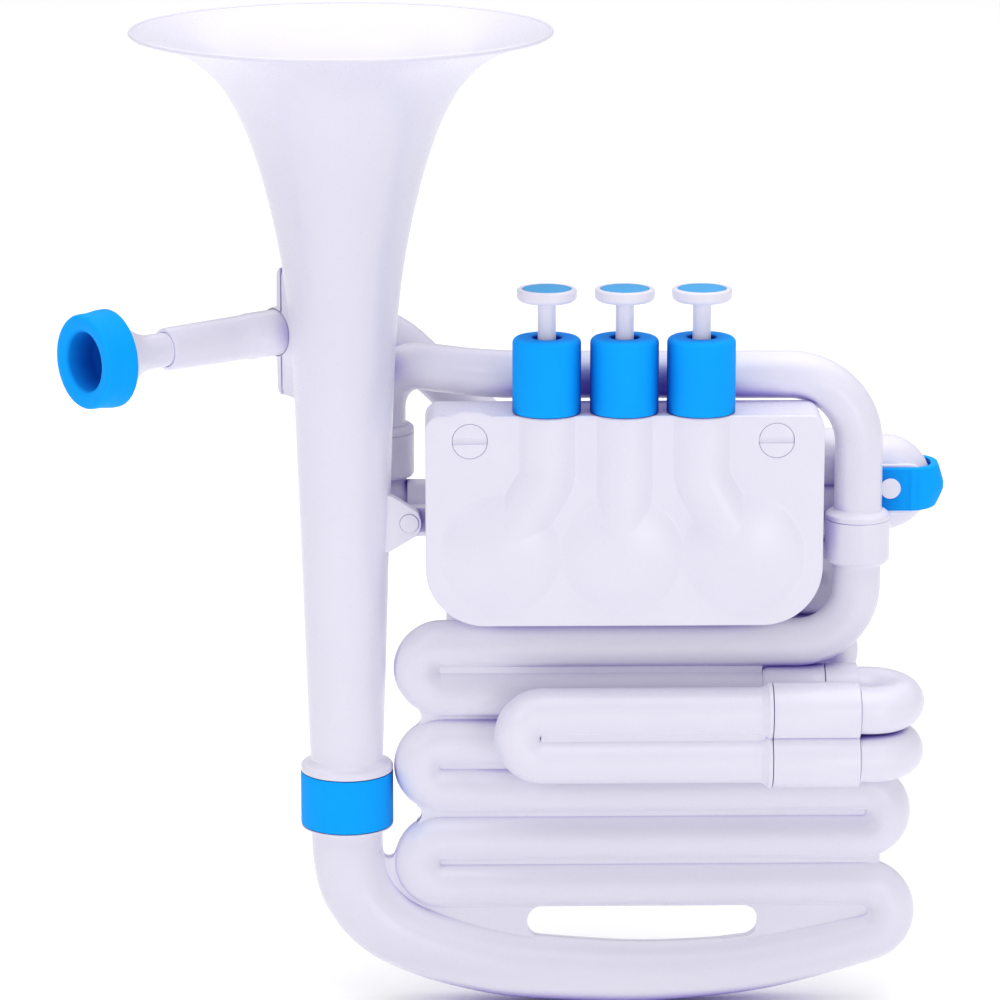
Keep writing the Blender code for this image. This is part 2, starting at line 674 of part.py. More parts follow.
corner = PIPE_FOOT + PIPE_DIR * PIPE_CORNER_S
lead = route(
    [PIPE_FOOT + PIPE_DIR * RECEIVER_JOINT_S, corner, (0.0100, REAR_Y, REAR_ROW_HIGH_Z), (REAR_SOCKET_X0 + 0.0035, REAR_Y, REAR_ROW_HIGH_Z)],
    [0.0320, 0.0360], 4)
hollow_tube("lead_pipe", lead, PIPE_R, BORE_R)
edge = math.acos(BRACKET_EDGE_T / BRACKET_RING_R)
half_ring = [(BRACKET_RING_R * math.cos(turn), PIPE_Z + BRACKET_RING_R * math.sin(turn))
             for turn in np.linspace(edge, 2.0 * math.pi - edge, 13)]
clamp = across_pipe("pipe_bracket", [
    (BRACKET_EDGE_T, BRACKET_Z0), (BRACKET_SPLIT_T, BRACKET_Z0), (BRACKET_SPLIT_T, BRACKET_Z1), (BRACKET_EDGE_T, BRACKET_Z1)]
    + half_ring, BRACKET_S0, BRACKET_S1)
cut(clamp, along_pipe("pipe hole", PIPE_R + GAP))

# Valve block: three chambers, the main passage, and the ports of the loops

chamber_r = (ROTOR_R + GAP) / math.cos(math.pi / TURNED)
valve_block = prism("valve_block", rounded(BLOCK_X0, BLOCK_Z0, BLOCK_X1, BLOCK_Z1, (0.004,) * 4, 2), BLOCK_Y0, BLOCK_Y1)
tab = [(-0.0200, 0.2035), (-0.0360, 0.2035), (-0.0415, 0.2010), (-0.0415, 0.1960), (-0.0360, 0.1935), (-0.0200, 0.1935)]
join(valve_block, prism("tab", tab, LUG_Y1 + GAP, TAB_Y1))
cut(valve_block, rod("pin hole", (LUG_PIN_X, -0.02, LUG_PIN_Z), (LUG_PIN_X, 0.02, LUG_PIN_Z), LUG_PIN_R + GAP, 10))
for x in ROTOR_X:
    cut(valve_block, rod("chamber", (x, ROTOR_Y0 - GAP, ROTOR_Z), (x, 0.045, ROTOR_Z), chamber_r))
    cut(valve_block, rod("bearing", (x, -0.010, ROTOR_Z), (x, 0.014, ROTOR_Z), SPINDLE_R + SLIP, 12))
cut(valve_block, rod("passage", (-0.030, REAR_Y - 0.001, PASSAGE_Z), (0.112, REAR_Y - 0.001, PASSAGE_Z), PASSAGE_R, 8))
LOOP3_HIGH_Z = 0.1770
LOOP3_LOW_Z = BLOCK_Z0 - LOOP_R - 0.0011
LOOP3_X = 0.0880
LOOP1_HIGH_Z = LOOP3_LOW_Z - 2.0 * LOOP_R - GAP
LOOP1_LOW_Z = LOOP1_HIGH_Z - 2.0 * LOOP_R - GAP
LOOP1_X = (-0.0135, 0.0045)
LOOP2_X = (0.0318, 0.0608)
LOOP2_Z = 0.1776
cut(valve_block, rod("port", (0.0930, REAR_Y, LOOP3_HIGH_Z), (0.112, REAR_Y, LOOP3_HIGH_Z), LOOP_BORE_R - 0.0004, 8))
for x, top in ((LOOP3_X, 0.1815), (LOOP1_X[0], 0.1920), (LOOP1_X[1], 0.1810)):
    cut(valve_block, rod("port", (x, REAR_Y, 0.160), (x, REAR_Y, top), LOOP_BORE_R - 0.0003, 8))
for x in LOOP2_X:
    cut(valve_block, rod("port", (x, 0.0215, LOOP2_Z), (x, 0.045, LOOP2_Z), LOOP_BORE_R - 0.0003, 8))
cut(valve_block, rod("port", (LOOP2_X[0], 0.0245, 0.1795), (LOOP2_X[1], 0.0245, 0.1795), 0.0034, 8))
rod("lug_pin", (LUG_PIN_X, LUG_Y0 - 0.0006, LUG_PIN_Z), (LUG_PIN_X, TAB_Y1 + 0.0010, LUG_PIN_Z), LUG_PIN_R, 10)


def stadium(name, a, b, radius, y0, y1, steps=6):
    """A flat bar with round ends between two points (x, z)."""
    turn = math.atan2(b[1] - a[1], b[0] - a[0])
    outline = []
    for centre, start in ((b, turn - math.pi / 2.0), (a, turn + math.pi / 2.0)):
        for k in range(steps + 1):
            angle = start + math.pi * k / steps
            outline.append((centre[0] + radius * math.cos(angle), centre[1] + radius * math.sin(angle)))
    return prism(name, outline, y0, y1)


CRANK_SIDE = (1.0, 1.0, -1.0)
CRANK_Y0 = -0.0150
CRANK_Y1 = -0.0118
PIN_TIP_Y = -0.0282
UP = math.sin(math.radians(45.0))
for number, (x, side) in enumerate(zip(ROTOR_X, CRANK_SIDE), start=1):
    axis = (x, 0.0, ROTOR_Z)
    rotor = revolve(f"rotor_{number}", (
        (0.0, CRANK_Y0 + 0.0004), (SPINDLE_R, CRANK_Y0 + 0.0004), (SPINDLE_R, ROTOR_Y0), (ROTOR_R, ROTOR_Y0), (ROTOR_R, ROTOR_Y1),
        (0.0, ROTOR_Y1)), axis, (0.0, 1.0, 0.0), pivot=axis)
    pin = (x + side * CRANK_R * UP, ROTOR_Z + CRANK_R * UP)
    join(rotor, stadium("crank", (x, ROTOR_Z), pin, 0.0040, CRANK_Y0, CRANK_Y1))
    join(rotor, rod("pin", (pin[0], PIN_TIP_Y, pin[1]), (pin[0], CRANK_Y1 - 0.0006, pin[1]), CRANK_PIN_R, 10))
    cut(rotor, rod("passage", (x - 0.02, REAR_Y - 0.001, PASSAGE_Z), (x + 0.02, REAR_Y - 0.001, PASSAGE_Z), PASSAGE_R, 8))
    revolve(f"rotor_cap_{number}", (
        (0.0, CAP_Y0), (ROTOR_R, CAP_Y0), (ROTOR_R, CAP_Y1 - 0.0008), (ROTOR_R - 0.0008, CAP_Y1), (0.0040, CAP_Y1), (0.0040, CAP_Y1 - 0.0010),
        (0.0, CAP_Y1 - 0.0010)), axis, (0.0, 1.0, 0.0))

# Loops of the three valves, the return elbow and the rear double socket

half = (LOOP3_HIGH_Z - LOOP3_LOW_Z) / 2.0
hollow_tube("valve_loop_3", route(
    [(BLOCK_X1 + GAP, REAR_Y, LOOP3_HIGH_Z), (0.1348, REAR_Y, LOOP3_HIGH_Z), (0.1348, REAR_Y, LOOP3_LOW_Z),
     (LOOP3_X, REAR_Y, LOOP3_LOW_Z), (LOOP3_X, REAR_Y, BLOCK_Z0 - GAP)],
    [half - 0.0001, half - 0.0001, 0.0076]), LOOP_R, LOOP_BORE_R, LOOP_SIDES)
half = (LOOP1_HIGH_Z - LOOP1_LOW_Z) / 2.0
hollow_tube("valve_loop_1", route(
    [(LOOP1_X[0], REAR_Y, BLOCK_Z0 - GAP), (LOOP1_X[0], REAR_Y, LOOP1_LOW_Z), (LOOP1_END_X, REAR_Y, LOOP1_LOW_Z),
     (LOOP1_END_X, REAR_Y, LOOP1_HIGH_Z), (LOOP1_X[1], REAR_Y, LOOP1_HIGH_Z), (LOOP1_X[1], REAR_Y, BLOCK_Z0 - GAP)],
    [0.0090, half - 0.0001, half - 0.0001, 0.0078]), LOOP_R, LOOP_BORE_R, LOOP_SIDES)
half = (LOOP2_X[1] - LOOP2_X[0]) / 2.0
hollow_tube("valve_loop_2", route(
    [(LOOP2_X[0], BLOCK_Y1 + GAP, LOOP2_Z), (LOOP2_X[0], 0.0560, LOOP2_Z), (LOOP2_X[1], 0.0560, LOOP2_Z),
     (LOOP2_X[1], BLOCK_Y1 + GAP, LOOP2_Z)], [half - 0.0001, half - 0.0001]), LOOP_R, LOOP_BORE_R, LOOP_SIDES)
elbow = hollow_tube("return_elbow", route(
    [(BLOCK_X0 - GAP, REAR_Y, REAR_ROW_LOW_Z), (-0.0270, REAR_Y, REAR_ROW_LOW_Z), (LEFT_FERRULE_X, LEFT_FERRULE_Y, REAR_ROW_LOW_Z),
     (LEFT_FERRULE_X, LEFT_FERRULE_Y, LEFT_SPLIT_Z - GAP)], [ELBOW_EASE_R, ELBOW_R]), TUBE_R, BORE_R)
join(elbow, pipe("sleeve", (ELBOW_SLEEVE_X0, REAR_Y, REAR_ROW_LOW_Z), (BLOCK_X0 - GAP, REAR_Y, REAR_ROW_LOW_Z), ELBOW_SLEEVE_R, TUBE_R - 0.0006))
rear = rod("rear_socket", (REAR_SOCKET_X0, REAR_Y, REAR_ROW_HIGH_Z), (REAR_SOCKET_X1, REAR_Y, REAR_ROW_HIGH_Z), REAR_SOCKET_R)
join(rear, rod("lower", (REAR_SOCKET_X0, REAR_Y, REAR_ROW_LOW_Z), (REAR_SOCKET_X1, REAR_Y, REAR_ROW_LOW_Z), REAR_SOCKET_R),
     solver=GRAZING)
for z in (REAR_ROW_HIGH_Z, REAR_ROW_LOW_Z):
    cut(rear, rod("seat", (0.10, REAR_Y, z), (0.14, REAR_Y, z), TUBE_R + GAP), solver=GRAZING)

# Rear bend with the drain key

legs = [(0.1130, REAR_Y, REAR_ROW_HIGH_Z), (REAR_BEND_X + 0.0099, REAR_Y, REAR_ROW_HIGH_Z), (REAR_BEND_X + 0.0099, REAR_Y, REAR_ROW_LOW_Z),
        (0.1093, REAR_Y, REAR_ROW_LOW_Z)]
bend_path = route(legs, [0.0099, 0.0099], 4)
rear_bend = solid_tube("rear_bend", bend_path, TUBE_R)
join(rear_bend, prism("saddle", SADDLE_OUTLINE, REAR_Y - KEY_HALF_Y, REAR_Y + KEY_HALF_Y))
longer = [Vector((0.105, REAR_Y, REAR_ROW_HIGH_Z))] + bend_path[1:-1] + [Vector((0.105, REAR_Y, REAR_ROW_LOW_Z))]
cut(rear_bend, solid_tube("bore", longer, 0.0070, BORE_SIDES), solver=GRAZING)
cut(rear_bend, rod("drain", (0.1640, REAR_Y, 0.2070), (0.1760, REAR_Y, 0.2070), DRAIN_R, 10))
pivot = (KEY_PIVOT_X, REAR_Y, KEY_PIVOT_Z)
face = KEY_HALF_Y + GAP
key = prism("drain_key", KEY_OUTLINE, REAR_Y - face - KEY_ARM, REAR_Y + face + KEY_ARM, colour=BLUE, roughness=0.5, pivot=pivot)
cut(key, block("mouth", (0.1400, REAR_Y - face, 0.1900), (KEY_WALL_X, REAR_Y + face, 0.2250)))
cut(key, rod("pin hole", (KEY_PIVOT_X, 0.0, KEY_PIVOT_Z), (KEY_PIVOT_X, 0.06, KEY_PIVOT_Z), KEY_PIN_R + GAP, 12))
for name, sign in (("drain_key_pin_front", -1.0), ("drain_key_pin_rear", 1.0)):
    rod(name, (KEY_PIVOT_X, REAR_Y + sign * face, KEY_PIVOT_Z), (KEY_PIVOT_X, REAR_Y + sign * (face + KEY_ARM + 0.0004), KEY_PIVOT_Z),
        KEY_PIN_R, 12)

# Front tuning slide, its double socket and the two side crooks

slide_axis = (SLIDE_FLANGE_X1, SLIDE_Y, (SLIDE_HIGH_Z + SLIDE_LOW_Z) / 2.0)
turn_r = (SLIDE_HIGH_Z - SLIDE_LOW_Z) / 2.0
slide_legs = [(SLIDE_FLANGE_X0 + 0.003, SLIDE_Y, SLIDE_HIGH_Z), (SLIDE_BEND_X - turn_r, SLIDE_Y, SLIDE_HIGH_Z),
              (SLIDE_BEND_X - turn_r, SLIDE_Y, SLIDE_LOW_Z), (SLIDE_FLANGE_X0 + 0.003, SLIDE_Y, SLIDE_LOW_Z)]
slide_path = route(slide_legs, [turn_r, turn_r], 4)
slide = solid_tube("tuning_slide", slide_path, TUBE_R, pivot=slide_axis)
for z in (SLIDE_HIGH_Z, SLIDE_LOW_Z):
    flare = ((0.0, 0.0), (0.0088, 0.0), (RECEIVER_R, 0.0024), (RECEIVER_R, SLIDE_FLANGE_X1 - SLIDE_FLANGE_X0),
             (0.0, SLIDE_FLANGE_X1 - SLIDE_FLANGE_X0))
    join(slide, revolve("flange", flare, (SLIDE_FLANGE_X0, SLIDE_Y, z), (1.0, 0.0, 0.0)), solver=GRAZING)
    join(slide, rod("spigot", (SLIDE_FLANGE_X0 + 0.002, SLIDE_Y, z), (SLIDE_SPIGOT_END_X, SLIDE_Y, z), SPIGOT_R, SIDES), solver=GRAZING)
longer = [Vector((0.140, SLIDE_Y, SLIDE_HIGH_Z))] + slide_path[1:-1] + [Vector((0.140, SLIDE_Y, SLIDE_LOW_Z))]
cut(slide, solid_tube("bore", longer, 0.0070, BORE_SIDES), solver=GRAZING)
receiver = rod("slide_receiver", (RECEIVER_X0, SLIDE_Y, SLIDE_HIGH_Z), (RECEIVER_X1, SLIDE_Y, SLIDE_HIGH_Z), RECEIVER_R)
join(receiver, rod("lower", (RECEIVER_X0, SLIDE_Y, SLIDE_LOW_Z), (RECEIVER_X1, SLIDE_Y, SLIDE_LOW_Z), RECEIVER_R), solver=GRAZING)
for z in (SLIDE_HIGH_Z, SLIDE_LOW_Z):
    cut(receiver, rod("seat", (0.100, SLIDE_Y, z), (0.150, SLIDE_Y, z), SPIGOT_R + SLIP), solver=GRAZING)
middle = (row_z(1) + row_z(2)) / 2.0
for name, z_front, z_rear, keep in (("side_crook_upper", SLIDE_HIGH_Z, row_z(1), 1.0), ("side_crook_lower", SLIDE_LOW_Z, row_z(2), -1.0)):
    half_y = -SLIDE_Y / 2.0
    turn = [(RECEIVER_X1 + GAP, SLIDE_Y, z_front), (SIDE_CROOK_X + half_y, SLIDE_Y, z_front), (SIDE_CROOK_X + half_y, 0.0, z_rear),
            (SHELL_SOCKET_X1 + GAP, 0.0, z_rear)]
    path = route(turn, [half_y - 0.0001, half_y - 0.0001], 4)
    made = solid_tube(name, path, TUBE_R)
    collar = rod("collar", (SHELL_SOCKET_X1 + GAP, 0.0, z_rear), (CROOK_COLLAR_X1, 0.0, z_rear), SOCKET_R)
    low, high = (middle - 0.05, middle + SPLIT) if keep > 0.0 else (middle - SPLIT, middle + 0.05)
    cut(collar, block("trim", (0.12, -0.02, low), (0.15, 0.02, high)))
    floor = row_z(3) + TUBE_R + GAP
    cut(collar, block("trim", (0.12, -0.02, floor - 0.03), (0.15, 0.02, floor)))
    join(made, collar, solver=GRAZING)
    join(made, rod("spigot", (SHELL_SOCKET_X0 + 0.003, 0.0, z_rear), (CROOK_COLLAR_X1 - 0.003, 0.0, z_rear), SPIGOT_R, SIDES), solver=GRAZING)
    join(made, rod("spigot", (0.1365, SLIDE_Y, z_front), (0.1410, SLIDE_Y, z_front), SPIGOT_R, SIDES), solver=GRAZING)
    longer = [Vector((0.130, SLIDE_Y, z_front))] + path[1:-1] + [Vector((0.100, 0.0, z_rear))]
    cut(made, solid_tube("bore", longer, 0.0070, BORE_SIDES), solver=GRAZING)

# Valve case, cover and coin-turn screws

outline = rounded(CASE_X0, CASE_Z0, CASE_X1, CASE_Z1, (CASE_LOW_R, CASE_LOW_R, CASE_TOP_R, CASE_TOP_R), 6)
cover_back = CASE_FACE_Y + COVER_THICK
case_front = cover_back + GAP
case = prism("valve_case", outline, case_front, CASE_BACK_Y)
w = CASE_WALL
hollow = rounded(CASE_X0 + w, CASE_Z0 + w, CASE_X1 - w, CASE_Z1 - w, (CASE_LOW_R - w, CASE_LOW_R - w, CASE_TOP_R - w, CASE_TOP_R - w), 6)
cut(case, prism("hollow", hollow, case_front - 0.01, CASE_BACK_Y - w))
cut(case, solid_tube("room for the crook", crook, TUBE_R + GAP, HOLLOW_SIDES))
for x in ROD_X:
    join(case, block("bridge", (x - 0.0085, case_front, BRIDGE_Z0), (x + 0.0085, CASE_BACK_Y - 0.001, BRIDGE_Z1)))
for x in ROD_X:
    cut(case, rod("guide", (x, ROD_Y, 0.21), (x, ROD_Y, 0.23), ROD_R + SLIP, 8))
    cut(case, rod("throat", (x, ROD_Y, 0.24), (x, ROD_Y, 0.25), COLLAR_BORE_R))
for x in ROTOR_X:
    cut(case, rod("bearing", (x, -0.010, ROTOR_Z), (x, 0.0, ROTOR_Z), SPINDLE_R + SLIP, 12))
for x in SCREW_X:
    join(case, rod("boss", (x, -0.0180, SCREW_Z), (x, CASE_BACK_Y - 0.001, SCREW_Z), 0.0056, 10))
    cut(case, rod("boss hole", (x, -0.0300, SCREW_Z), (x, CASE_BACK_Y - 0.0024, SCREW_Z), SCREW_SHANK_R + SLIP, 8))

cover = prism("valve_cover", outline, CASE_FACE_Y, cover_back)
join(cover, rod("boss", (SCREW_X[0], CASE_FACE_Y, SCREW_Z), (SCREW_X[0], cover_back, SCREW_Z), BOSS_R, 20), solver=GRAZING)
ball = (DOME_R ** 2 + DOME_HEIGHT ** 2) / (2.0 * DOME_HEIGHT)
for x in ROTOR_X:
    profile = [(0.0, DOME_HEIGHT)]
    for k in range(1, 4):
        r = DOME_R * k / 3.0
        profile.append((r, DOME_HEIGHT - ball + math.sqrt(ball ** 2 - r ** 2)))
    profile += [(DOME_R, -0.0010), (0.0, -0.0010)]
    join(cover, revolve("dome", profile, (x, CASE_FACE_Y, ROTOR_Z), (0.0, -1.0, 0.0), 20), solver=GRAZING)
channel_r = (CHANNEL_HALF ** 2 + CHANNEL_HEIGHT ** 2) / (2.0 * CHANNEL_HEIGHT)
channel_y = CASE_FACE_Y + channel_r - CHANNEL_HEIGHT
for x, target in zip(ROD_X, ROTOR_X):
    path = route([(x, channel_y, CASE_Z1 + 0.001), (x, channel_y, CHANNEL_BEND_Z), (target, channel_y, ROTOR_Z)], [0.010], 3)
    join(cover, solid_tube("channel", path, channel_r, 20), solver=GRAZING)
cut(cover, block("behind", (-0.1, cover_back, 0.1), (0.2, 0.0, 0.3)), block("above", (-0.1, -0.05, CASE_Z1 + 0.0018), (0.2, 0.0, 0.3)), solver=GRAZING)
for x in ROD_X:
    cut(cover, block("above", (x - 0.013, -0.05, CASE_Z1), (x + 0.013, 0.0, 0.3)), solver=GRAZING)
    cut(cover, rod("throat", (x, ROD_Y, 0.2190), (x, ROD_Y, 0.26), COLLAR_BORE_R - 0.0002, 12), solver=GRAZING)
for x in SCREW_X:
    cut(cover, rod("recess", (x, -0.05, SCREW_Z), (x, CASE_FACE_Y + SCREW_RECESS, SCREW_Z), SCREW_R + GAP), solver=GRAZING)
    cut(cover, rod("hole", (x, -0.05, SCREW_Z), (x, 0.0, SCREW_Z), SCREW_SHANK_R + SLIP, 8), solver=GRAZING)
for name, x in zip(("cover_screw_left", "cover_screw_right"), SCREW_X):
    axis = (x, CASE_FACE_Y, SCREW_Z)
    head = -0.0002
    screw = revolve(name, (
        (0.0, head), (SCREW_R - 0.0004, head), (SCREW_R, head + 0.0004), (SCREW_R, SCREW_RECESS - GAP),
        (SCREW_SHANK_R, SCREW_RECESS - GAP), (SCREW_SHANK_R, 0.0230), (0.0, 0.0230)), axis, (0.0, 1.0, 0.0), pivot=axis)
    half_slot = COIN_SLOT / 2.0
    cut(screw, block("coin slot", (x - 0.01, CASE_FACE_Y - 0.002, SCREW_Z - half_slot), (x + 0.01, CASE_FACE_Y + 0.0009, SCREW_Z + half_slot)))

# Push rods, buttons, inlays, soft collars and return springs

PIN_Z = ROTOR_Z + CRANK_R * UP
slot_half = CRANK_PIN_R + PIN_CLEAR
cap_bottom = CAP_TOP_Z - CAP_THICK
for number, (x, centre, side) in enumerate(zip(ROD_X, ROTOR_X, CRANK_SIDE), start=1):
    axis = (x, ROD_Y, CAP_TOP_Z)
    near = centre + side * CRANK_R * UP
    far = centre + side * CRANK_R
    push = rod(f"push_rod_{number}", (x, ROD_Y, PIN_Z), (x, ROD_Y, cap_bottom + 0.0022), ROD_R, 10, colour=WHITE, pivot=axis)
    join(push, rod("flange", (x, ROD_Y, FLANGE_Z0), (x, ROD_Y, FLANGE_Z1), FLANGE_R, 12))
    low = min(x, near, far) - 0.0045
    high = max(x, near, far) + 0.0045
    foot = prism("foot", rounded(low, PIN_Z - FOOT_HALF_HEIGHT, high, PIN_Z + FOOT_HALF_HEIGHT, (0.002,) * 4, 2),
                 ROD_Y - FOOT_HALF_THICK, ROD_Y + FOOT_HALF_THICK)
    join(push, foot)
    a, b = sorted((near, far))
    cut(push, stadium("slot", (a, PIN_Z), (b, PIN_Z), slot_half, ROD_Y - 0.01, ROD_Y + 0.01, 6))
    revolve(f"button_{number}", (
        (0.0, CAP_TOP_Z - INLAY_RECESS), (INLAY_R + GAP, CAP_TOP_Z - INLAY_RECESS), (INLAY_R + GAP, CAP_TOP_Z), (CAP_R - 0.0010, CAP_TOP_Z),
        (CAP_R, CAP_TOP_Z - 0.0010), (CAP_R, cap_bottom + 0.0008), (CAP_R - 0.0008, cap_bottom), (ROD_R + GAP, cap_bottom),
        (ROD_R + GAP, cap_bottom + 0.0025), (0.0, cap_bottom + 0.0025)), (x, ROD_Y, 0.0), (0.0, 0.0, 1.0), pivot=axis)
    rod(f"button_inlay_{number}", (x, ROD_Y, CAP_TOP_Z - INLAY_RECESS + GAP), (x, ROD_Y, CAP_TOP_Z), INLAY_R, TURNED,
        colour=INLAY_BLUE, roughness=0.55, pivot=axis)
    revolve(f"valve_collar_{number}", (
        (COLLAR_R, COLLAR_Z0), (COLLAR_R, COLLAR_Z1 - 0.0022), (COLLAR_R - 0.0007, COLLAR_Z1 - 0.0006), (COLLAR_R - 0.0022, COLLAR_Z1),
        (COLLAR_HOLE_R + 0.0006, COLLAR_Z1), (COLLAR_HOLE_R, COLLAR_Z1 - 0.0006), (COLLAR_HOLE_R, COLLAR_Z1 - COLLAR_ROOF),
        (COLLAR_BORE_R, COLLAR_Z1 - COLLAR_ROOF), (COLLAR_BORE_R, COLLAR_Z0)), (x, ROD_Y, 0.0), (0.0, 0.0, 1.0), colour=BLUE, roughness=0.5)
    low_z = BRIDGE_Z1 + GAP + SPRING_WIRE_R
    high_z = FLANGE_Z0 - GAP - SPRING_WIRE_R
    coil = []
    for k in range(SPRING_TURNS * SPRING_STEPS + 1):
        turn = 2.0 * math.pi * k / SPRING_STEPS
        coil.append((x + SPRING_R * math.cos(turn), ROD_Y + SPRING_R * math.sin(turn),
                     low_z + (high_z - low_z) * k / (SPRING_TURNS * SPRING_STEPS)))
    solid_tube(f"return_spring_{number}", coil, SPRING_WIRE_R, 5, colour=STEEL, roughness=0.3, pivot=(x, ROD_Y, BRIDGE_Z1 + GAP))
free = (FLANGE_Z0 - BRIDGE_Z1 - TRAVEL - 2.0 * GAP) / SPRING_TURNS - 2.0 * SPRING_WIRE_R
print(f"least gap between coils when pressed: {free * 1000.0:.2f} mm")

for made in bpy.context.scene.objects:
    made.location.x += CENTRING_X
    if made.type == "MESH" and len(made.data.polygons) > 12:
        made.data.shade_smooth()
        made.data.set_sharp_from_angle(angle=math.radians(40.0))
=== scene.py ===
# %% [markdown]
# # A plastic horn, piece by piece
# The horn is white moulded plastic with soft blue silicone where hands and lips touch it.
# This file loads the engineering model first. Its pieces have the right places and sizes, but
# few facets. The cells after that make each piece again as a smooth surface, worked out with
# numpy, and hang it on the same body as the piece that it stands for.

# %% Load the engineering model
import math

import bpy
import numpy as np
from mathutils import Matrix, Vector


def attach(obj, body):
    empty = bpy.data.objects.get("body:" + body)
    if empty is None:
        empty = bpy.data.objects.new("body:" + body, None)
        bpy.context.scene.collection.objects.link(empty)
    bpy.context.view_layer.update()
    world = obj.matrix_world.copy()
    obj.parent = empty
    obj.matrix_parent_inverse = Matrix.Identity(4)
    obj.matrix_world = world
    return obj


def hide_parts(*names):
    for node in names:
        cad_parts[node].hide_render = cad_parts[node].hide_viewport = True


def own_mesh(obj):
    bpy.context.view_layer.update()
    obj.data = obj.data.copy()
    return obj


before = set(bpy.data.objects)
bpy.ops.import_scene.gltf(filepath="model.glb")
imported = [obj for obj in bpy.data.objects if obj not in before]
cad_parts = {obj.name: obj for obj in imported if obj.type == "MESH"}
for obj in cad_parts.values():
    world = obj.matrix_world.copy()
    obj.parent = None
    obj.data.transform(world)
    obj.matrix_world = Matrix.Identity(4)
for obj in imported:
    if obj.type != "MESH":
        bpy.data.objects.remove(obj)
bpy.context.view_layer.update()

# %% [markdown]
# ## Numbers
# All lengths are metres. The model is drawn about the valve case and then moved a little in X,
# so that the whole is centred, and `CENTRING` is that move. The hexagonal colours are as the
# eye sees them; one function turns them into the linear values that a shader works with.

# %% Shared numbers and colours
CENTRING = np.array([-0.0030, 0.0, 0.0])
X_AXIS, Y_AXIS, Z_AXIS = np.eye(3)
TUBE_R, TUBE_BORE, BEND_BORE = 0.0093, 0.0076, 0.0070
SPIGOT_R, SOCKET_R, SLEEVE_BORE = 0.0086, 0.01085, 0.0092
SEAM = 0.00015


def linear(code):
    """sRGB hex to linear: below 0.04045 divide by 12.92, above it ((c + 0.055) / 1.055) to the 2.4."""
    values = np.array([int(code[i:i + 2], 16) for i in (1, 3, 5)]) / 255.0
    low, high = values / 12.92, ((values + 0.055) / 1.055) ** 2.4
    return (*np.where(values <= 0.04045, low, high).tolist(), 1.0)


def add_node(tree, kind, links=(), **settings):
    """Adds one node. Settings name properties or input sockets; links are (socket, from_node, output)."""
    node = tree.nodes.new(kind)
    for key, value in settings.items():
        if key in node.inputs:
            node.inputs[key].default_value = value
        elif key.replace("_", " ") in node.inputs:
            node.inputs[key.replace("_", " ")].default_value = value
        else:
            setattr(node, key, value)
    for socket, source, output in links:
        tree.links.new(source.outputs[output], node.inputs[socket])
    return node


# %% [markdown]
# ## Finishes
# The white parts are ABS, injection moulded: a hard plastic with a satin gloss and a faint
# violet cast. A procedural noise in object space gives a fine grain, which hardly shows, and the
# gentle waves, about a centimetre long, that the cooling plastic sinks in. No picture and no
# unwrapping is needed.
#
# In the photograph the light is very soft, and deep places turn violet. An ambient occlusion
# node measures how open each place is. It tints closed places violet and lightens half open
# ones. That imitates the photograph's light, and isn't how the plastic itself is coloured.

# %% White ABS
# Openness levels for the painted light in half open places and the painted shade in closed places.
OPEN_REACH, OPEN_SAMPLES = 0.025, 10
HALF_OPEN, CLOSED = (0.45, 0.90), 0.06


def paint_by_openness(tree, tone, openness, painted_colour, low, high):
    """Paints light and shade by openness: the painted colour where openness is low or less, blending to the
    given tone where it is high or more.
    """
    share = add_node(tree, "ShaderNodeMapRange", [("Value", openness, "AO")])
    share.inputs["From Min"].default_value = low
    share.inputs["From Max"].default_value = high
    mix = add_node(tree, "ShaderNodeMix", [(0, share, "Result")], data_type="RGBA")
    mix.inputs[6].default_value = linear(painted_colour)
    tree.links.new(tone.outputs[2], mix.inputs[7])
    return mix


def moulded(name, dark, light, roughness, grain, grain_depth, wave_depth, ior,
            painted_shade=None, open_at=0.40, painted_light=None):
    """Noise mixes two close colours and varies the roughness, openness paints shade and light into them, and
    two bumps add up.
    """
    made = bpy.data.materials.new(name)
    made.use_nodes = True
    tree = made.node_tree
    shader = tree.nodes["Principled BSDF"]
    place = add_node(tree, "ShaderNodeTexCoord")
    cloud = add_node(tree, "ShaderNodeTexNoise", [("Vector", place, "Object")],
                     Scale=28.0, Detail=3.0, Roughness=0.55)
    tone = add_node(tree, "ShaderNodeMix", data_type="RGBA")
    tone.inputs[6].default_value = linear(dark)
    tone.inputs[7].default_value = linear(light)
    tree.links.new(cloud.outputs["Fac"], tone.inputs[0])
    # Painted light and shade: half open places are lightened, and closed places take the painted shade
    # colour.
    if painted_shade:
        openness = add_node(tree, "ShaderNodeAmbientOcclusion", Distance=OPEN_REACH, samples=OPEN_SAMPLES)
        if painted_light:
            tone = paint_by_openness(tree, tone, openness, painted_light, *HALF_OPEN)
        tone = paint_by_openness(tree, tone, openness, painted_shade, CLOSED, open_at)
    tree.links.new(tone.outputs[2], shader.inputs["Base Color"])
    fine = add_node(tree, "ShaderNodeTexNoise", [("Vector", place, "Object")],
                    Scale=1.0 / grain, Detail=2.0, Roughness=0.6)
    slow = add_node(tree, "ShaderNodeTexNoise", [("Vector", place, "Object")],
                    Scale=90.0, Detail=1.0, Roughness=0.4)
    rough = add_node(tree, "ShaderNodeMapRange", [("Value", fine, "Fac")])
    rough.inputs["To Min"].default_value = roughness - 0.05
    rough.inputs["To Max"].default_value = roughness + 0.05
    tree.links.new(rough.outputs["Result"], shader.inputs["Roughness"])
    waves = add_node(tree, "ShaderNodeBump", [("Height", slow, "Fac")], Strength=0.25, Distance=wave_depth)
    bump = add_node(tree, "ShaderNodeBump", [("Height", fine, "Fac"), ("Normal", waves, "Normal")],
                    Strength=0.10, Distance=grain_depth)
    tree.links.new(bump.outputs["Normal"], shader.inputs["Normal"])
    shader.inputs["IOR"].default_value = ior
    return made
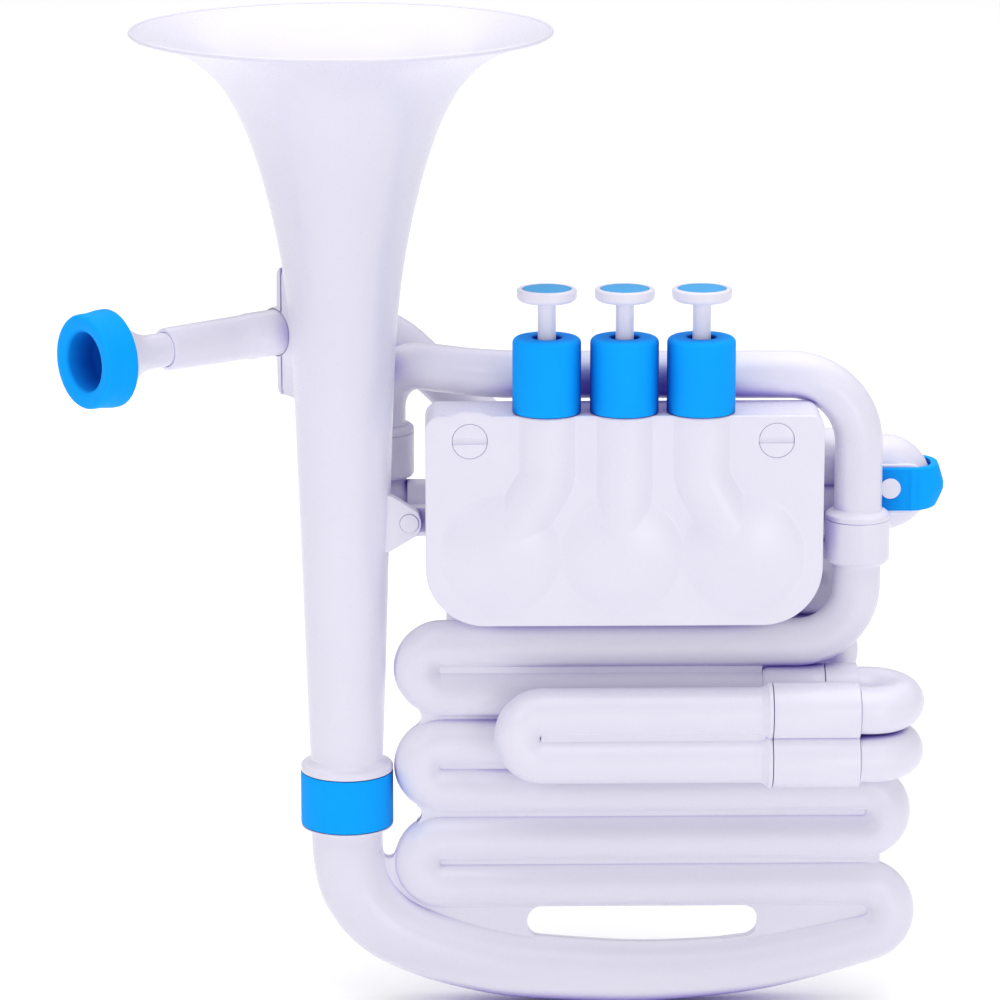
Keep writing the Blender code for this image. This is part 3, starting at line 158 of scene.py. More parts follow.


# The violet is painted shade in closed places; the near white is painted light in half open ones.
WHITE = moulded("white_abs_moulded", "#DCD9E9", "#E1DEED", 0.29, 0.0007, 0.000008, 0.00012, 1.54,
                painted_shade="#7A5CD4", painted_light="#EFEDF8")
print("white ABS ready")

# %% [markdown]
# The soft parts are silicone rubber, pressed in a matt mould. The blue is strong and even, and
# a low specular level leaves almost no highlight. Closed places get a painted shade of deep blue. The discs
# on the buttons are a harder, duller plastic, and the springs are drawn wire.

# %% Blue silicone, blue discs and spring wire
# The deep blue is painted shade in closed places.
BLUE = moulded("blue_silicone_pressed", "#009AFA", "#00A6FF", 0.68, 0.0006, 0.00003, 0.00004, 1.41,
               painted_shade="#0010A0", open_at=0.85)
BLUE.node_tree.nodes["Principled BSDF"].inputs["Specular IOR Level"].default_value = 0.15
DISC_BLUE = moulded("blue_disc_moulded", "#1F97D6", "#259DDC", 0.50, 0.0005, 0.00002, 0.00002, 1.50)
STEEL = moulded("spring_steel_drawn", "#9C9CA2", "#B4B4BA", 0.28, 0.0004, 0.00001, 0.00001, 1.50)
STEEL.node_tree.nodes["Principled BSDF"].inputs["Metallic"].default_value = 1.0

# %% [markdown]
# ## Five ways to make a surface
# Nearly all of this horn is one of five forms: a profile turned about an axis, a circle carried
# along a bent line, half of that circle for a shell, a flat plate with rounded edges, and a
# plate with a relief on it. Each is a grid of points with two parameters. One function turns
# any such grid into faces, one closes a stack of rings with two flat ends, and one puts the
# finished arrays into a mesh.

# %% Grids, meshes and pieces
def quads(rows, cols, wrap_rows=False, wrap_cols=True):
    """Faces of a rows x cols grid of points, numbered row by row, going round where it wraps."""
    i = np.arange(rows if wrap_rows else rows - 1)[:, None]
    k = np.arange(cols if wrap_cols else cols - 1)[None, :]
    below, beside = (i + 1) % rows, (k + 1) % cols
    corners = (i * cols + k, i * cols + beside, below * cols + beside, below * cols + k)
    return np.stack([c + 0 * (i + k) for c in corners], axis=-1).reshape(-1, 4)


def volume_of(points, faces):
    """A closed surface's volume: the sum over its faces' corner fans of a . (b x c) / 6."""
    total = 0.0
    for face in faces:
        face = np.atleast_2d(face)
        for k in range(1, face.shape[1] - 1):
            a, b, c = points[face[:, 0]], points[face[:, k]], points[face[:, k + 1]]
            total += float(np.einsum("ij,ij->i", a, np.cross(b, c)).sum()) / 6.0
    return total


def solid(points, *faces):
    """A form, (points, list of face arrays), turned so that its volume is positive and it faces out."""
    points = np.asarray(points, float).reshape(-1, 3)
    faces = [np.atleast_2d(f) for f in faces]
    if volume_of(points - points.mean(0), faces) < 0.0:
        faces = [f[:, ::-1] for f in faces]
    return points, faces


def capped(rings):
    """A form through rings with equal numbers of points, closed by a flat face at the first and the last."""
    rings = np.asarray(rings)
    count, sides = rings.shape[:2]
    caps = np.arange(sides)[None, :]
    return solid(rings, quads(count, sides), caps[:, ::-1], caps + (count - 1) * sides)


def piece(name, forms, material, body, *nodes, sharp=38.0):
    """Puts closed forms into one mesh object, hangs it on a body, and lets it stand for engineering nodes."""
    points, faces, first = [], [], 0
    for form_points, form_faces in forms:
        points.append(form_points)
        for f in form_faces:
            faces.extend((f + first).tolist())
        first += len(form_points)
    mesh = bpy.data.meshes.new(name)
    mesh.from_pydata((np.concatenate(points) + CENTRING).tolist(), [], faces)
    mesh.update()
    mesh.materials.append(material)
    mesh.shade_smooth()
    mesh.set_sharp_from_angle(angle=math.radians(sharp))
    made = bpy.data.objects.new(name, mesh)
    bpy.context.scene.collection.objects.link(made)
    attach(made, body)
    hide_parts(*nodes)
    print(f"{name}: {len(mesh.vertices)} points for {', '.join(nodes)}")
    return made


# %% [markdown]
# A turned piece starts as a profile, a closed line of (radius, height) corners. Moulded edges
# are never sharp, so `soften` first rounds each corner with a small arc.

# %% Profiles and turned pieces
def soften(corners, radii, steps=5):
    """Rounds each corner of a closed line by a tangent arc that starts r tan(turn / 2) before the corner."""
    corners = np.asarray(corners, float)
    radii = np.broadcast_to(np.asarray(radii, float), (len(corners),))
    line = []
    for p, a, b, r in zip(corners, np.roll(corners, 1, 0), np.roll(corners, -1, 0), radii):
        into, out = (p - a) / np.linalg.norm(p - a), (b - p) / np.linalg.norm(b - p)
        angle = math.acos(float(np.clip(into @ out, -1.0, 1.0)))
        if r <= 0.0 or angle < 0.02:
            line.append(p)
            continue
        reach = min(r * math.tan(angle / 2.0), 0.48 * np.linalg.norm(p - a), 0.48 * np.linalg.norm(b - p))
        r = reach / math.tan(angle / 2.0)
        centre = p + (out - into) / np.linalg.norm(out - into) * r / math.cos(angle / 2.0)
        arm = p - into * reach - centre
        turn = angle * np.linspace(0.0, 1.0, steps + 1)[:, None]
        line.extend(centre + arm * np.cos(turn) + into * r * np.sin(turn))
    return np.array(line)


def across(axis):
    """Two unit vectors square to an axis."""
    axis = np.asarray(axis, float) / np.linalg.norm(axis)
    side = np.cross(axis, Z_AXIS if abs(axis[2]) < 0.9 else Y_AXIS)
    side /= np.linalg.norm(side)
    return side, np.cross(side, axis)


def turned(profile, base, axis, sides=72):
    """Point (k, i): base + axis * height_k + radius_k * (side cos t_i + other sin t_i), closed both ways."""
    profile = np.asarray(profile, float)
    axis = np.asarray(axis, float) / np.linalg.norm(axis)
    side, other = across(axis)
    t = np.linspace(0.0, 2.0 * np.pi, sides, endpoint=False)
    circle = np.cos(t)[:, None] * side + np.sin(t)[:, None] * other
    points = np.asarray(base, float) + profile[:, 1, None, None] * axis + profile[:, 0, None, None] * circle
    return solid(points, quads(len(profile), sides, wrap_rows=True))


def knob(profile, base, axis, sides=72):
    """As turned, for a profile that starts and ends on the axis: the two poles are single points."""
    profile = np.asarray(profile, float)
    axis = np.asarray(axis, float) / np.linalg.norm(axis)
    points, faces = turned(profile[1:-1], base, axis, sides)
    count = len(profile) - 2
    poles = np.asarray(base, float) + profile[[0, -1], 1, None] * axis
    k = np.arange(sides)
    last = (count - 1) * sides
    low = np.stack([(k + 1) % sides, k, np.full(sides, count * sides)], -1)
    high = np.stack([last + k, last + (k + 1) % sides, np.full(sides, count * sides + 1)], -1)
    return solid(np.concatenate([points, poles]), quads(count, sides), low, high)


# %% [markdown]
# A tube is a circle carried along a line. The line is drawn as straight runs whose corners are
# rounded to a bend radius. The circle mustn't twist as it goes, so each station takes its side
# direction from the one before, with the part along the tube taken out.

# %% Lines, tubes and half shells
def route(corners, bends, step=0.0012):
    """A line through corners, each inner one an arc of its bend radius with points about a step apart."""
    corners = np.asarray(corners, float)
    path = [corners[0]]
    for a, p, b, r in zip(corners, corners[1:], corners[2:], bends):
        into, out = (p - a) / np.linalg.norm(p - a), (b - p) / np.linalg.norm(b - p)
        angle = math.acos(float(np.clip(into @ out, -1.0, 1.0)))
        centre = p + (out - into) / np.linalg.norm(out - into) * r / math.cos(angle / 2.0)
        arm = p - into * r * math.tan(angle / 2.0) - centre
        turn = np.linspace(0.0, angle, max(6, round(angle * r / step)) + 1)[:, None]
        path.extend(centre + arm * np.cos(turn) + into * r * np.sin(turn))
    path.append(corners[-1])
    path = np.array(path)
    keep = np.r_[True, np.linalg.norm(np.diff(path, axis=0), axis=1) > 1e-5]
    return path[keep]


def carried(path, hint=Y_AXIS):
    """At each station of a path, two vectors square to it, handed on from the one before without twist."""
    along = np.gradient(path, axis=0)
    along /= np.linalg.norm(along, axis=1)[:, None]
    side = np.empty_like(path)
    last = np.asarray(hint, float)
    for k, t in enumerate(along):
        last = last - t * (last @ t)
        last /= np.linalg.norm(last)
        side[k] = last
    return side, np.cross(along, side)


def swept(path, section, scale=1.0, hint=Y_AXIS):
    """Point (k, i) is path_k + scale_k * (side_k * a_i + other_k * b_i), for a closed section of (a, b)."""
    path = np.asarray(path, float)
    side, other = carried(path, hint)
    scale = np.broadcast_to(np.asarray(scale, float), (len(path),))[:, None, None]
    a, b = section[:, 0][None, :, None], section[:, 1][None, :, None]
    return capped(path[:, None] + scale * (a * side[:, None] + b * other[:, None]))


def ring(sides=56):
    """A unit circle as a section."""
    t = np.linspace(0.0, 2.0 * np.pi, sides, endpoint=False)
    return np.stack([np.cos(t), np.sin(t)], -1)


def tube(path, radius, bore=None, hint=Y_AXIS, sides=56):
    """A bar along a path or, with a bore, a tube: the outer rings forward, then the inner rings back."""
    if bore is None:
        return swept(path, ring(sides), radius, hint)
    path = np.asarray(path, float)
    side, other = carried(path, hint)
    circle = ring(sides)
    around = circle[:, 0][None, :, None] * side[:, None] + circle[:, 1][None, :, None] * other[:, None]
    points = np.concatenate([path[:, None] + radius * around, (path[:, None] + bore * around)[::-1]])
    return solid(points, quads(2 * len(path), sides, wrap_rows=True))


def half_tube(path, radii, front):
    """Half of a bar on a path in the XZ plane: (-s (r cos t + seam), r sin t), s = 1 in front, -1 behind."""
    path = np.asarray(path, float)
    radii = np.broadcast_to(np.asarray(radii, float), (len(path),))
    sign = -1.0 if front else 1.0
    side, other = carried(path)
    t = np.linspace(-np.pi / 2.0, np.pi / 2.0, 33)
    a = sign * (radii[:, None] * np.cos(t)[None, :] + SEAM)
    b = radii[:, None] * np.sin(t)[None, :]
    return capped(path[:, None] + a[..., None] * side[:, None] + b[..., None] * other[:, None])


# %% [markdown]
# A plate is its outline in X and Z, repeated at a few depths in Y. Near each face it is drawn
# in by the amount that a quarter circle gives, which makes the rounded edge.

# %% Plates with rounded edges
def plate(outline, low, high, edge=0.0006, steps=4, ends=(True, True)):
    """The ring at depth e (1 - cos a) is drawn in by e (1 - sin a), square to the outline, a from 0 to 90."""
    outline = np.asarray(outline, float)
    before, after = np.roll(outline, 1, 0), np.roll(outline, -1, 0)
    along = (after - before) / np.linalg.norm(after - before, axis=1)[:, None]
    area = 0.5 * float(np.sum(outline[:, 0] * after[:, 1] - after[:, 0] * outline[:, 1]))
    inward = np.stack([-along[:, 1], along[:, 0]], -1) * np.sign(area)
    a = np.linspace(0.0, np.pi / 2.0, steps + 1)
    draw, depth = edge * (1.0 - np.sin(a)), edge * (1.0 - np.cos(a))
    first = [(d, low + e) for d, e in zip(draw, depth)] if ends[0] else [(0.0, low)]
    last = [(d, high - e) for d, e in zip(draw, depth)][::-1] if ends[1] else [(0.0, high)]
    rings = []
    for inset, level in first + last:
        drawn = outline + inward * inset
        rings.append(np.stack([drawn[:, 0], np.full(len(outline), level), drawn[:, 1]], -1))
    return capped(rings)


def box_outline(x0, z0, x1, z1, radii, steps=8):
    """A rectangle's outline with its corners rounded."""
    return soften([(x0, z0), (x1, z0), (x1, z1), (x0, z1)], radii, steps)


# %% [markdown]
# ## The serpentine body
# Six rows of tube and the bottom bow are moulded as two half shells, front and rear, that meet
# in the plane of the rows. A web joins the rows, and it leaves a slot over the bow for the
# hand. The rows are one long line: this cell repeats its corners, rounds them, and carries
# half a circle along it for each shell. The bow is a cone, so its radius grows along the line.

# %% Body line
FIRST_ROW_Z, ROW_PITCH = 0.1482, 0.0198
LEFT_BEND_X, RIGHT_BEND_X = -0.0227, 0.1437
UPRIGHT_X, UPRIGHT_BEND_R = 0.1398, 0.0233
ROW_END_X, SHELL_SOCKET_X = 0.1228, 0.1026
BELL_X = -0.0605
BOW_BEND = (0.1440, 0.0377, 0.0115)
BOW = np.array([
    (0.1234, 0.0204, 0.0107), (0.1019, 0.0159, 0.0113), (0.0760, 0.0133, 0.0119),
    (0.0491, 0.01245, 0.01245), (0.0132, 0.0147, 0.01295), (-0.0052, 0.0176, 0.01325),
    (-0.0251, 0.0234, 0.0137), (-0.0405, 0.0302, 0.0139), (-0.0489, 0.0366, 0.0140),
    (-0.0545, 0.0436, 0.0140), (-0.0585, 0.0520, 0.0140), (-0.0605, 0.0640, 0.0140),
])


def row_z(number):
    return FIRST_ROW_Z - ROW_PITCH * number


def smooth_curve(points, steps):
    """Catmull-Rom: between b and c, 0.5 (2b + (c - a) t + (2a - 5b + 4c - d) t^2 + (3b - a - 3c + d) t^3)."""
    points = np.asarray(points, float)
    padded = np.concatenate([2 * points[:1] - points[1:2], points, 2 * points[-1:] - points[-2:-1]])
    a, b, c, d = (padded[i:len(padded) - 3 + i, None] for i in range(4))
    t = np.linspace(0.0, 1.0, steps, endpoint=False)[None, :, None]
    curve = 0.5 * (2 * b + (c - a) * t + (2 * a - 5 * b + 4 * c - d) * t ** 2
                   + (3 * b - a - 3 * c + d) * t ** 3)
    return np.concatenate([curve.reshape(-1, points.shape[1]), points[-1:]])


BEND = ROW_PITCH / 2.0
LEFT, RIGHT = LEFT_BEND_X - BEND, RIGHT_BEND_X + BEND
UPPER_LINE = route(
    [(UPRIGHT_X, 0, 0.1900), (UPRIGHT_X, 0, row_z(0)), (LEFT, 0, row_z(0)), (LEFT, 0, row_z(1)),
     (ROW_END_X, 0, row_z(1))], [UPRIGHT_BEND_R, BEND, BEND])
rows = route(
    [(ROW_END_X, 0, row_z(2)), (LEFT, 0, row_z(2)), (LEFT, 0, row_z(3)), (RIGHT, 0, row_z(3)),
     (RIGHT, 0, row_z(4)), (LEFT, 0, row_z(4)), (LEFT, 0, row_z(5)), (BOW_BEND[0] - 0.004, 0, row_z(5))],
    [BEND] * 6)
HOOK_STEPS, HOOK_SWELL = 30, 0.0007
turn = np.radians(np.linspace(90.0, -75.0, HOOK_STEPS))
hook_x, hook_z, hook_r = BOW_BEND
hook = np.stack([hook_x + hook_r * np.cos(turn), 0 * turn, hook_z + hook_r * np.sin(turn)], -1)
bow = smooth_curve(BOW, 8)
bow_line = np.stack([bow[:, 0], 0 * bow[:, 0], bow[:, 1]], -1)
LOWER_LINE = np.concatenate([rows, hook, bow_line, [(BELL_X, 0, 0.0860)]])
hook_radii = TUBE_R + HOOK_SWELL * np.linspace(0, 1, HOOK_STEPS)
LOWER_RADII = np.concatenate([np.full(len(rows), TUBE_R), hook_radii, bow[:, 2], [BOW[-1, 2]]])
print("body line:", len(UPPER_LINE) + len(LOWER_LINE), "stations")

# %% [markdown]
# The web is thin at the edges of the rows and thicker inside each hairpin, where its face shows
# as a shallow slit. Its outline follows the centre lines, so the tubes hide its own edges. Only
# the round ends of the hand's slot, the edge beside the bell and the one at the right show.

# %% Web outlines
SLOT_X, SLOT_Z, SLOT_R = (0.0108, 0.1026), (0.0276, 0.0403), 0.0062
slot_in_x = SLOT_X[0] + 0.0140
inner_bow = bow[::-1, :2]
left_bow = inner_bow[inner_bow[:, 0] < SLOT_X[0] + 0.008]
right_bow = inner_bow[inner_bow[:, 0] > SLOT_X[1] - 0.008]
low_z, high_z = SLOT_Z[0] - 0.012, SLOT_Z[1] + 0.008
left_end = soften([(slot_in_x, low_z), (slot_in_x, SLOT_Z[0] - 0.0016), (SLOT_X[0], SLOT_Z[0]),
                   (SLOT_X[0], SLOT_Z[1]), (slot_in_x, SLOT_Z[1]), (slot_in_x, high_z)],
                  [0, 0, SLOT_R, SLOT_R, 0, 0], 12)
right_end = left_end * [-1.0, 1.0] + [SLOT_X[0] + SLOT_X[1], 0.0]


def notch(x, z, radius, start, end, steps=12):
    """Points of an arc about (x, z) from one angle to another, in degrees."""
    t = np.radians(np.linspace(start, end, steps + 1))
    return np.stack([x + radius * np.cos(t), z + radius * np.sin(t)], -1).tolist()


left_edge = []
for gap_z in ((row_z(1) + row_z(2)) / 2.0, (row_z(3) + row_z(4)) / 2.0):
    left_edge += notch(-0.0352, gap_z, 0.00423, 58.0, -58.0)
neck_edge = notch(-0.0440, 0.0630, 0.0024, 0.0, -180.0)


def between(number, left, right, thick):
    """A rectangle that fills the gap under a row, with its half thickness."""
    over, under = row_z(number), row_z(number + 1)
    return [(left, over), (left, under), (right, under), (right, over)], thick


WEBS = [
    ([(-0.0220, row_z(0)), (-0.0330, 0.1430)] + left_edge
     + [(-0.0330, 0.0500), (0.1510, 0.0500), (0.1510, row_z(4)), (0.1437, row_z(3)), (0.1240, 0.0960),
        (0.1240, row_z(1)), (0.1130, 0.1350), (0.1130, row_z(0))], 0.0020),
    between(0, -0.0250, 0.1030, 0.0038),
    between(2, -0.0250, 0.1010, 0.0032),
    between(4, -0.0250, 0.1500, 0.0030),
    ([(-0.0250, row_z(3))] + left_edge[-13:] + [(-0.0250, row_z(4)), (0.1460, row_z(4)), (0.1460, row_z(3))],
     0.0030),
    ([(-0.0300, 0.0630)] + neck_edge + [(-0.0500, 0.0630), (-0.0585, 0.0560)]
     + left_bow.tolist() + left_end.tolist() + [(-0.0200, row_z(5))], 0.0026),
    (right_end[::-1].tolist() + right_bow.tolist() + [(0.1440, 0.0262), (0.1500, 0.0320), (0.1500, row_z(5))],
     0.0026),
]
print("web sheets:", len(WEBS))


def shell(front):
    """All forms of one body shell: half tubes, half sockets and the web's sheets on that side of the seam."""
    sign = -1.0 if front else 1.0
    forms = [half_tube(UPPER_LINE, TUBE_R, front), half_tube(LOWER_LINE, LOWER_RADII, front)]
    for number in (1, 2):
        x = SHELL_SOCKET_X + np.array([0.0, 0.0006, 0.0016, 0.0026, 0.0246, 0.0249])
        r = [TUBE_R - 0.001, TUBE_R + 0.0006, SOCKET_R - 0.0004, SOCKET_R, SOCKET_R, SOCKET_R - 0.0003]
        forms.append(half_tube(np.stack([x, 0 * x, row_z(number) + 0 * x], -1), r, front))
    for outline, thick in WEBS:
        low, high = sorted((sign * SEAM, sign * thick))
        forms.append(plate(outline, low, high, 0.0002))
    return forms


piece("body_front", shell(True), WHITE, "frame", "body_front_shell")
piece("body_rear", shell(False), WHITE, "frame", "body_rear_shell")

# %% [markdown]
# ## The bell
# The bell is one moulding: a long cone that flares at the top, measured from its outline. The
# line through the measured points is eased a little, so that no ripple shows in a highlight.
# The inside is the outside moved in by the wall, 1.8 mm at the tail and 0.9 mm at the lip,
# which ends in a small bead.

# %% Bell
BELL = np.array([
    (0.0137, 0.0870), (0.0149, 0.1171), (0.0160, 0.1498), (0.0170, 0.1822), (0.0181, 0.2150),
    (0.01915, 0.2447), (0.0199, 0.2620), (0.0209, 0.2770), (0.0221, 0.2895), (0.0239, 0.3018),
    (0.0260, 0.3135), (0.0286, 0.3249), (0.0315, 0.3363), (0.0349, 0.3472), (0.0382, 0.3557),
    (0.0418, 0.3633), (0.0460, 0.3697), (0.0504, 0.3750), (0.0552, 0.3791), (0.0616, 0.3829),
    (0.0685, 0.3858), (0.0750, 0.3880), (0.0797, 0.3893),
])
LIP_R, LIP_CENTRE = 0.0009, np.array([0.0801, 0.3898])


def ease(line, rounds):
    """Each round moves every inner point to (before + 2 here + after) / 4."""
    line = line.copy()
    for _ in range(rounds):
        line[1:-1] = (line[:-2] + 2.0 * line[1:-1] + line[2:]) / 4.0
    return line


def spread(line, step):
    """Points at even distances along a line."""
    at = np.r_[0.0, np.cumsum(np.linalg.norm(np.diff(line, axis=0), axis=1))]
    even = np.linspace(0.0, at[-1], max(2, round(at[-1] / step)) + 1)
    return np.stack([np.interp(even, at, line[:, k]) for k in range(line.shape[1])], -1)


outside = ease(spread(smooth_curve(BELL, 8), 0.0015), 30)
along = np.gradient(outside, axis=0)
along /= np.linalg.norm(along, axis=1)[:, None]
wall = np.interp(outside[:, 1], [0.087, 0.300, 0.380, 0.3893], [0.0018, 0.0016, 0.0011, 0.0009])[:, None]
inside = outside + np.stack([-along[:, 1], along[:, 0]], -1) * wall
turn = np.radians(np.linspace(-65.0, 140.0, 13))
bead = LIP_CENTRE + LIP_R * np.stack([np.cos(turn), np.sin(turn)], -1)
bell = [turned(np.concatenate([outside, bead, inside[::-1]]), (BELL_X, 0.0, 0.0), Z_AXIS, 144)]
print("bell rim radius", round(float(bead[:, 0].max()), 4))

# %% [markdown]
# A lug on the bell's side takes the pin that ties it to the valve block, and a plate square to
# the lead pipe holds half of the pipe's clamp. Both are plates with a hole or a bite, so the
# next function joins an outline to a round hole: each outline point has its own point on the
# hole, on the line to the hole's centre.

# %% Lug and clamp plate
PIPE_YAW, PIPE_OFFSET, PIPE_Z, PIPE_R = math.radians(38.0), 0.0302, 0.2696, 0.0091
PIPE_DIR = np.array([math.cos(PIPE_YAW), math.sin(PIPE_YAW), 0.0])
PIPE_SIDE = np.array([math.sin(PIPE_YAW), -math.cos(PIPE_YAW), 0.0])
PIPE_FOOT = np.array([BELL_X - PIPE_OFFSET * math.sin(PIPE_YAW), PIPE_OFFSET * math.cos(PIPE_YAW), PIPE_Z])
LUG_PIN = (-0.0354, 0.1985)


def holed(outline, centre, radius, low, high, edge=0.0005, step=0.0008):
    """A plate in the XZ plane with a round hole: rings from the hole over one face, the edge and back."""
    outline = spread(np.concatenate([outline, outline[:1]]), step)[:-1]
    arms = outline - centre
    hole = centre + radius * arms / np.linalg.norm(arms, axis=1)[:, None]
    inward = -arms / np.linalg.norm(arms, axis=1)[:, None]
    a = np.linspace(0.0, np.pi / 2.0, 5)
    rings = [(hole, low)]
    rings += [(outline + inward * edge * (1.0 - np.sin(t)), low + edge * (1.0 - np.cos(t))) for t in a]
    rings += [(outline + inward * edge * (1.0 - np.sin(t)), high - edge * (1.0 - np.cos(t))) for t in a[::-1]]
    rings += [(hole, high)]
    points = np.concatenate([np.stack([r[:, 0], np.full(len(r), y), r[:, 1]], -1) for r, y in rings])
    return solid(points, quads(len(rings), len(outline), wrap_rows=True))


lug = soften([(-0.0462, 0.1868), (-0.0435, 0.1868), (-0.0316, 0.1940), (-0.0303, 0.1985), (-0.0318, 0.2028),
              (-0.0424, 0.2095), (-0.0462, 0.2095)], [0, 0.003, 0.003, 0.006, 0.003, 0.003, 0], 6)
bell.append(holed(lug, LUG_PIN, 0.00378, -0.0070, -0.0015))


def across_pipe(outline, s):
    """A ring square to the lead pipe: foot + u * side + v * up + s * direction for each point (u, v)."""
    return PIPE_FOOT + outline[:, :1] * PIPE_SIDE + outline[:, 1:] * Z_AXIS + s * PIPE_DIR


CLAMP_Z, CLAMP_ALONG, CLAMP_BITE, CLAMP_LEVELS = (0.2453, 0.2958), (-0.0107, -0.0035), 0.0094, 7
CLAMP_LOW, CLAMP_HIGH = CLAMP_Z[0] - PIPE_Z, CLAMP_Z[1] - PIPE_Z
PLATE_EDGE = 0.0042


def clamp_levels(edge):
    """Levels along the pipe, each with what it is drawn in by: only the first and the last are."""
    return zip(np.linspace(*CLAMP_ALONG, CLAMP_LEVELS), [edge] + [0.0] * (CLAMP_LEVELS - 2) + [edge])


def clamp_plate():
    """Rings with a bite for the pipe, and a far edge on the bell's wall at 30.2 mm - sqrt(r^2 - s^2)."""
    z = np.linspace(CLAMP_Z[0], CLAMP_Z[1], 40)
    bell_r = np.interp(z, outside[:, 1], outside[:, 0]) - 0.0008
    bite = np.radians(np.linspace(-69.0, 69.0, 25))
    arc = [(CLAMP_BITE * math.cos(b), CLAMP_BITE * math.sin(b)) for b in bite]
    rings = []
    for s, inset in clamp_levels(0.0004):
        t = PIPE_OFFSET - np.sqrt(bell_r ** 2 - s ** 2)
        edge, corner = PLATE_EDGE + inset, 0.0052 + inset
        left = [(edge, CLAMP_LOW + 0.0030), (edge, -0.0088)]
        top = [(edge, 0.0088), (edge, CLAMP_HIGH - 0.0030), (corner, CLAMP_HIGH - inset)]
        low = [(corner, CLAMP_LOW + inset)]
        rings.append(across_pipe(np.array(left + arc + top + list(zip(t[::-1], z[::-1] - PIPE_Z)) + low), s))
    return capped(rings)


bell.append(clamp_plate())
piece("bell_flared", bell, WHITE, "frame", "bell")
PIN_R, PIN_Y = 0.00365, (-0.0076, 0.0055)
pin_line = soften([(0.0, PIN_Y[0]), (PIN_R, PIN_Y[0]), (PIN_R, PIN_Y[1]), (0.0, PIN_Y[1])],
                  [0, 0.0003, 0.0003, 0])
piece("lug_pin_round", [knob(pin_line, (LUG_PIN[0], 0.0, LUG_PIN[1]), Y_AXIS)], WHITE, "frame", "lug_pin")

# %% [markdown]
# The ferrule joins the bow's neck to the bell's tail. It is turned, with a groove in which the
# soft blue band sits almost flush, so only a fine line shows at its two ends.

# %% Bell ferrule and band
FERRULE_R, GROOVE_R, BAND_R, BAND_BORE = 0.01815, 0.0162, 0.01825, 0.01645
ferrule = soften([(0.0141, 0.0728), (0.0150, 0.0728), (FERRULE_R, 0.0745), (FERRULE_R, 0.0751),
                  (GROOVE_R, 0.0751), (GROOVE_R, 0.0972), (FERRULE_R, 0.0972), (FERRULE_R, 0.0999),
                  (0.0156, 0.1001), (0.0142, 0.1022)],
                 [0, 0.0004, 0.0012, 0.0002, 0, 0, 0.0002, 0.0011, 0.0014, 0])
forms = [turned(ferrule, (BELL_X, 0.0, 0.0), Z_AXIS, 96)]
piece("bell_ferrule_turned", forms, WHITE, "frame", "bell_ferrule")
band = soften([(BAND_BORE, 0.0754), (BAND_R, 0.0754), (BAND_R, 0.0969), (BAND_BORE, 0.0969)],
              [0, 0.0004, 0.0004, 0])
piece("bell_band_soft", [turned(band, (BELL_X, 0.0, 0.0), Z_AXIS, 96)], BLUE, "frame", "bell_band")

# %% [markdown]
# ## Tubing over the top
# The crook leaves the left ferrule behind the bell, runs to the right behind the collars, and
# drops into the right ferrule. The two small ferrules have a rolled lip at the top, with a
# fine seam under it, and a soft edge below.

# %% Top crook and small ferrules
LEFT_FERRULE, RIGHT_FERRULE = (-0.0460, 0.0285), (UPRIGHT_X, 0.0)
CROOK_Z = 0.2557
crook = route([(*LEFT_FERRULE, 0.2206), (*LEFT_FERRULE, CROOK_Z), (-0.004, 0.0022, CROOK_Z),
               (UPRIGHT_X, 0, CROOK_Z), (UPRIGHT_X, 0, 0.1906)], [0.0190, 0.0600, 0.0275])
piece("top_crook_tube", [tube(crook, TUBE_R, TUBE_BORE)], WHITE, "frame", "top_crook")


def small_ferrule(low, high):
    """From below: a soft edge, the body, a shallow line, and a lip that rolls in and runs out on the tube."""
    body_r, lip_r = 0.01265, 0.0126
    return soften(
        [(SLEEVE_BORE, low), (0.0118, low), (body_r, low + 0.0012), (body_r, high - 0.0034),
         (0.0122, high - 0.0032), (lip_r, high - 0.0030), (lip_r, high - 0.0012), (0.0110, high),
         (0.0098, high + 0.0002), (SLEEVE_BORE, high + 0.0011)],
        [0, 0.0004, 0.0016, 0.0001, 0, 0.0002, 0.0013, 0.0012, 0.0010, 0])


for name, (x, y), low, high in (("right_ferrule", RIGHT_FERRULE, 0.1813, 0.2016),
                                ("left_ferrule", LEFT_FERRULE, 0.2099, 0.2306)):
    piece(name + "_turned", [turned(small_ferrule(low, high), (x, y, 0.0), Z_AXIS, 96)], WHITE, "frame", name)

# %% [markdown]
# ## Mouthpiece and lead pipe
# The mouthpiece is a cup with a tapered shank, covered by soft silicone that also lines the
# cup, so it looks blue all the way in. The receiver is a short tapered tube on the end of the
# lead pipe.

# %% Mouthpiece, its cover and the receiver
MOUTH = PIPE_FOOT - 0.1013 * PIPE_DIR
cover = soften([(0.0146, 0.0134), (0.0188, 0.0134), (0.0188, 0.0104), (0.0182, 0.0062), (0.0181, 0.0002),
                (0.0146, 0.0002), (0.0116, 0.0010), (0.0107, 0.0060), (0.0098, 0.0120), (0.0075, 0.0170),
                (0.0045, 0.0200), (0.0048, 0.0206), (0.0080, 0.0176), (0.0104, 0.0122), (0.0114, 0.0060),
                (0.0124, 0.0031), (0.0146, 0.0031)],
               [0, 0.0005, 0.010, 0.016, 0.0023, 0.0026, 0.0030, 0.01, 0.005, 0.005, 0, 0, 0.004, 0.004, 0.01,
                0.001, 0], 6)
forms = [turned(cover, MOUTH, PIPE_DIR, 112)]
piece("rim_cover_soft", forms, BLUE, "mouthpiece_unit", "mouthpiece_rim_cover")
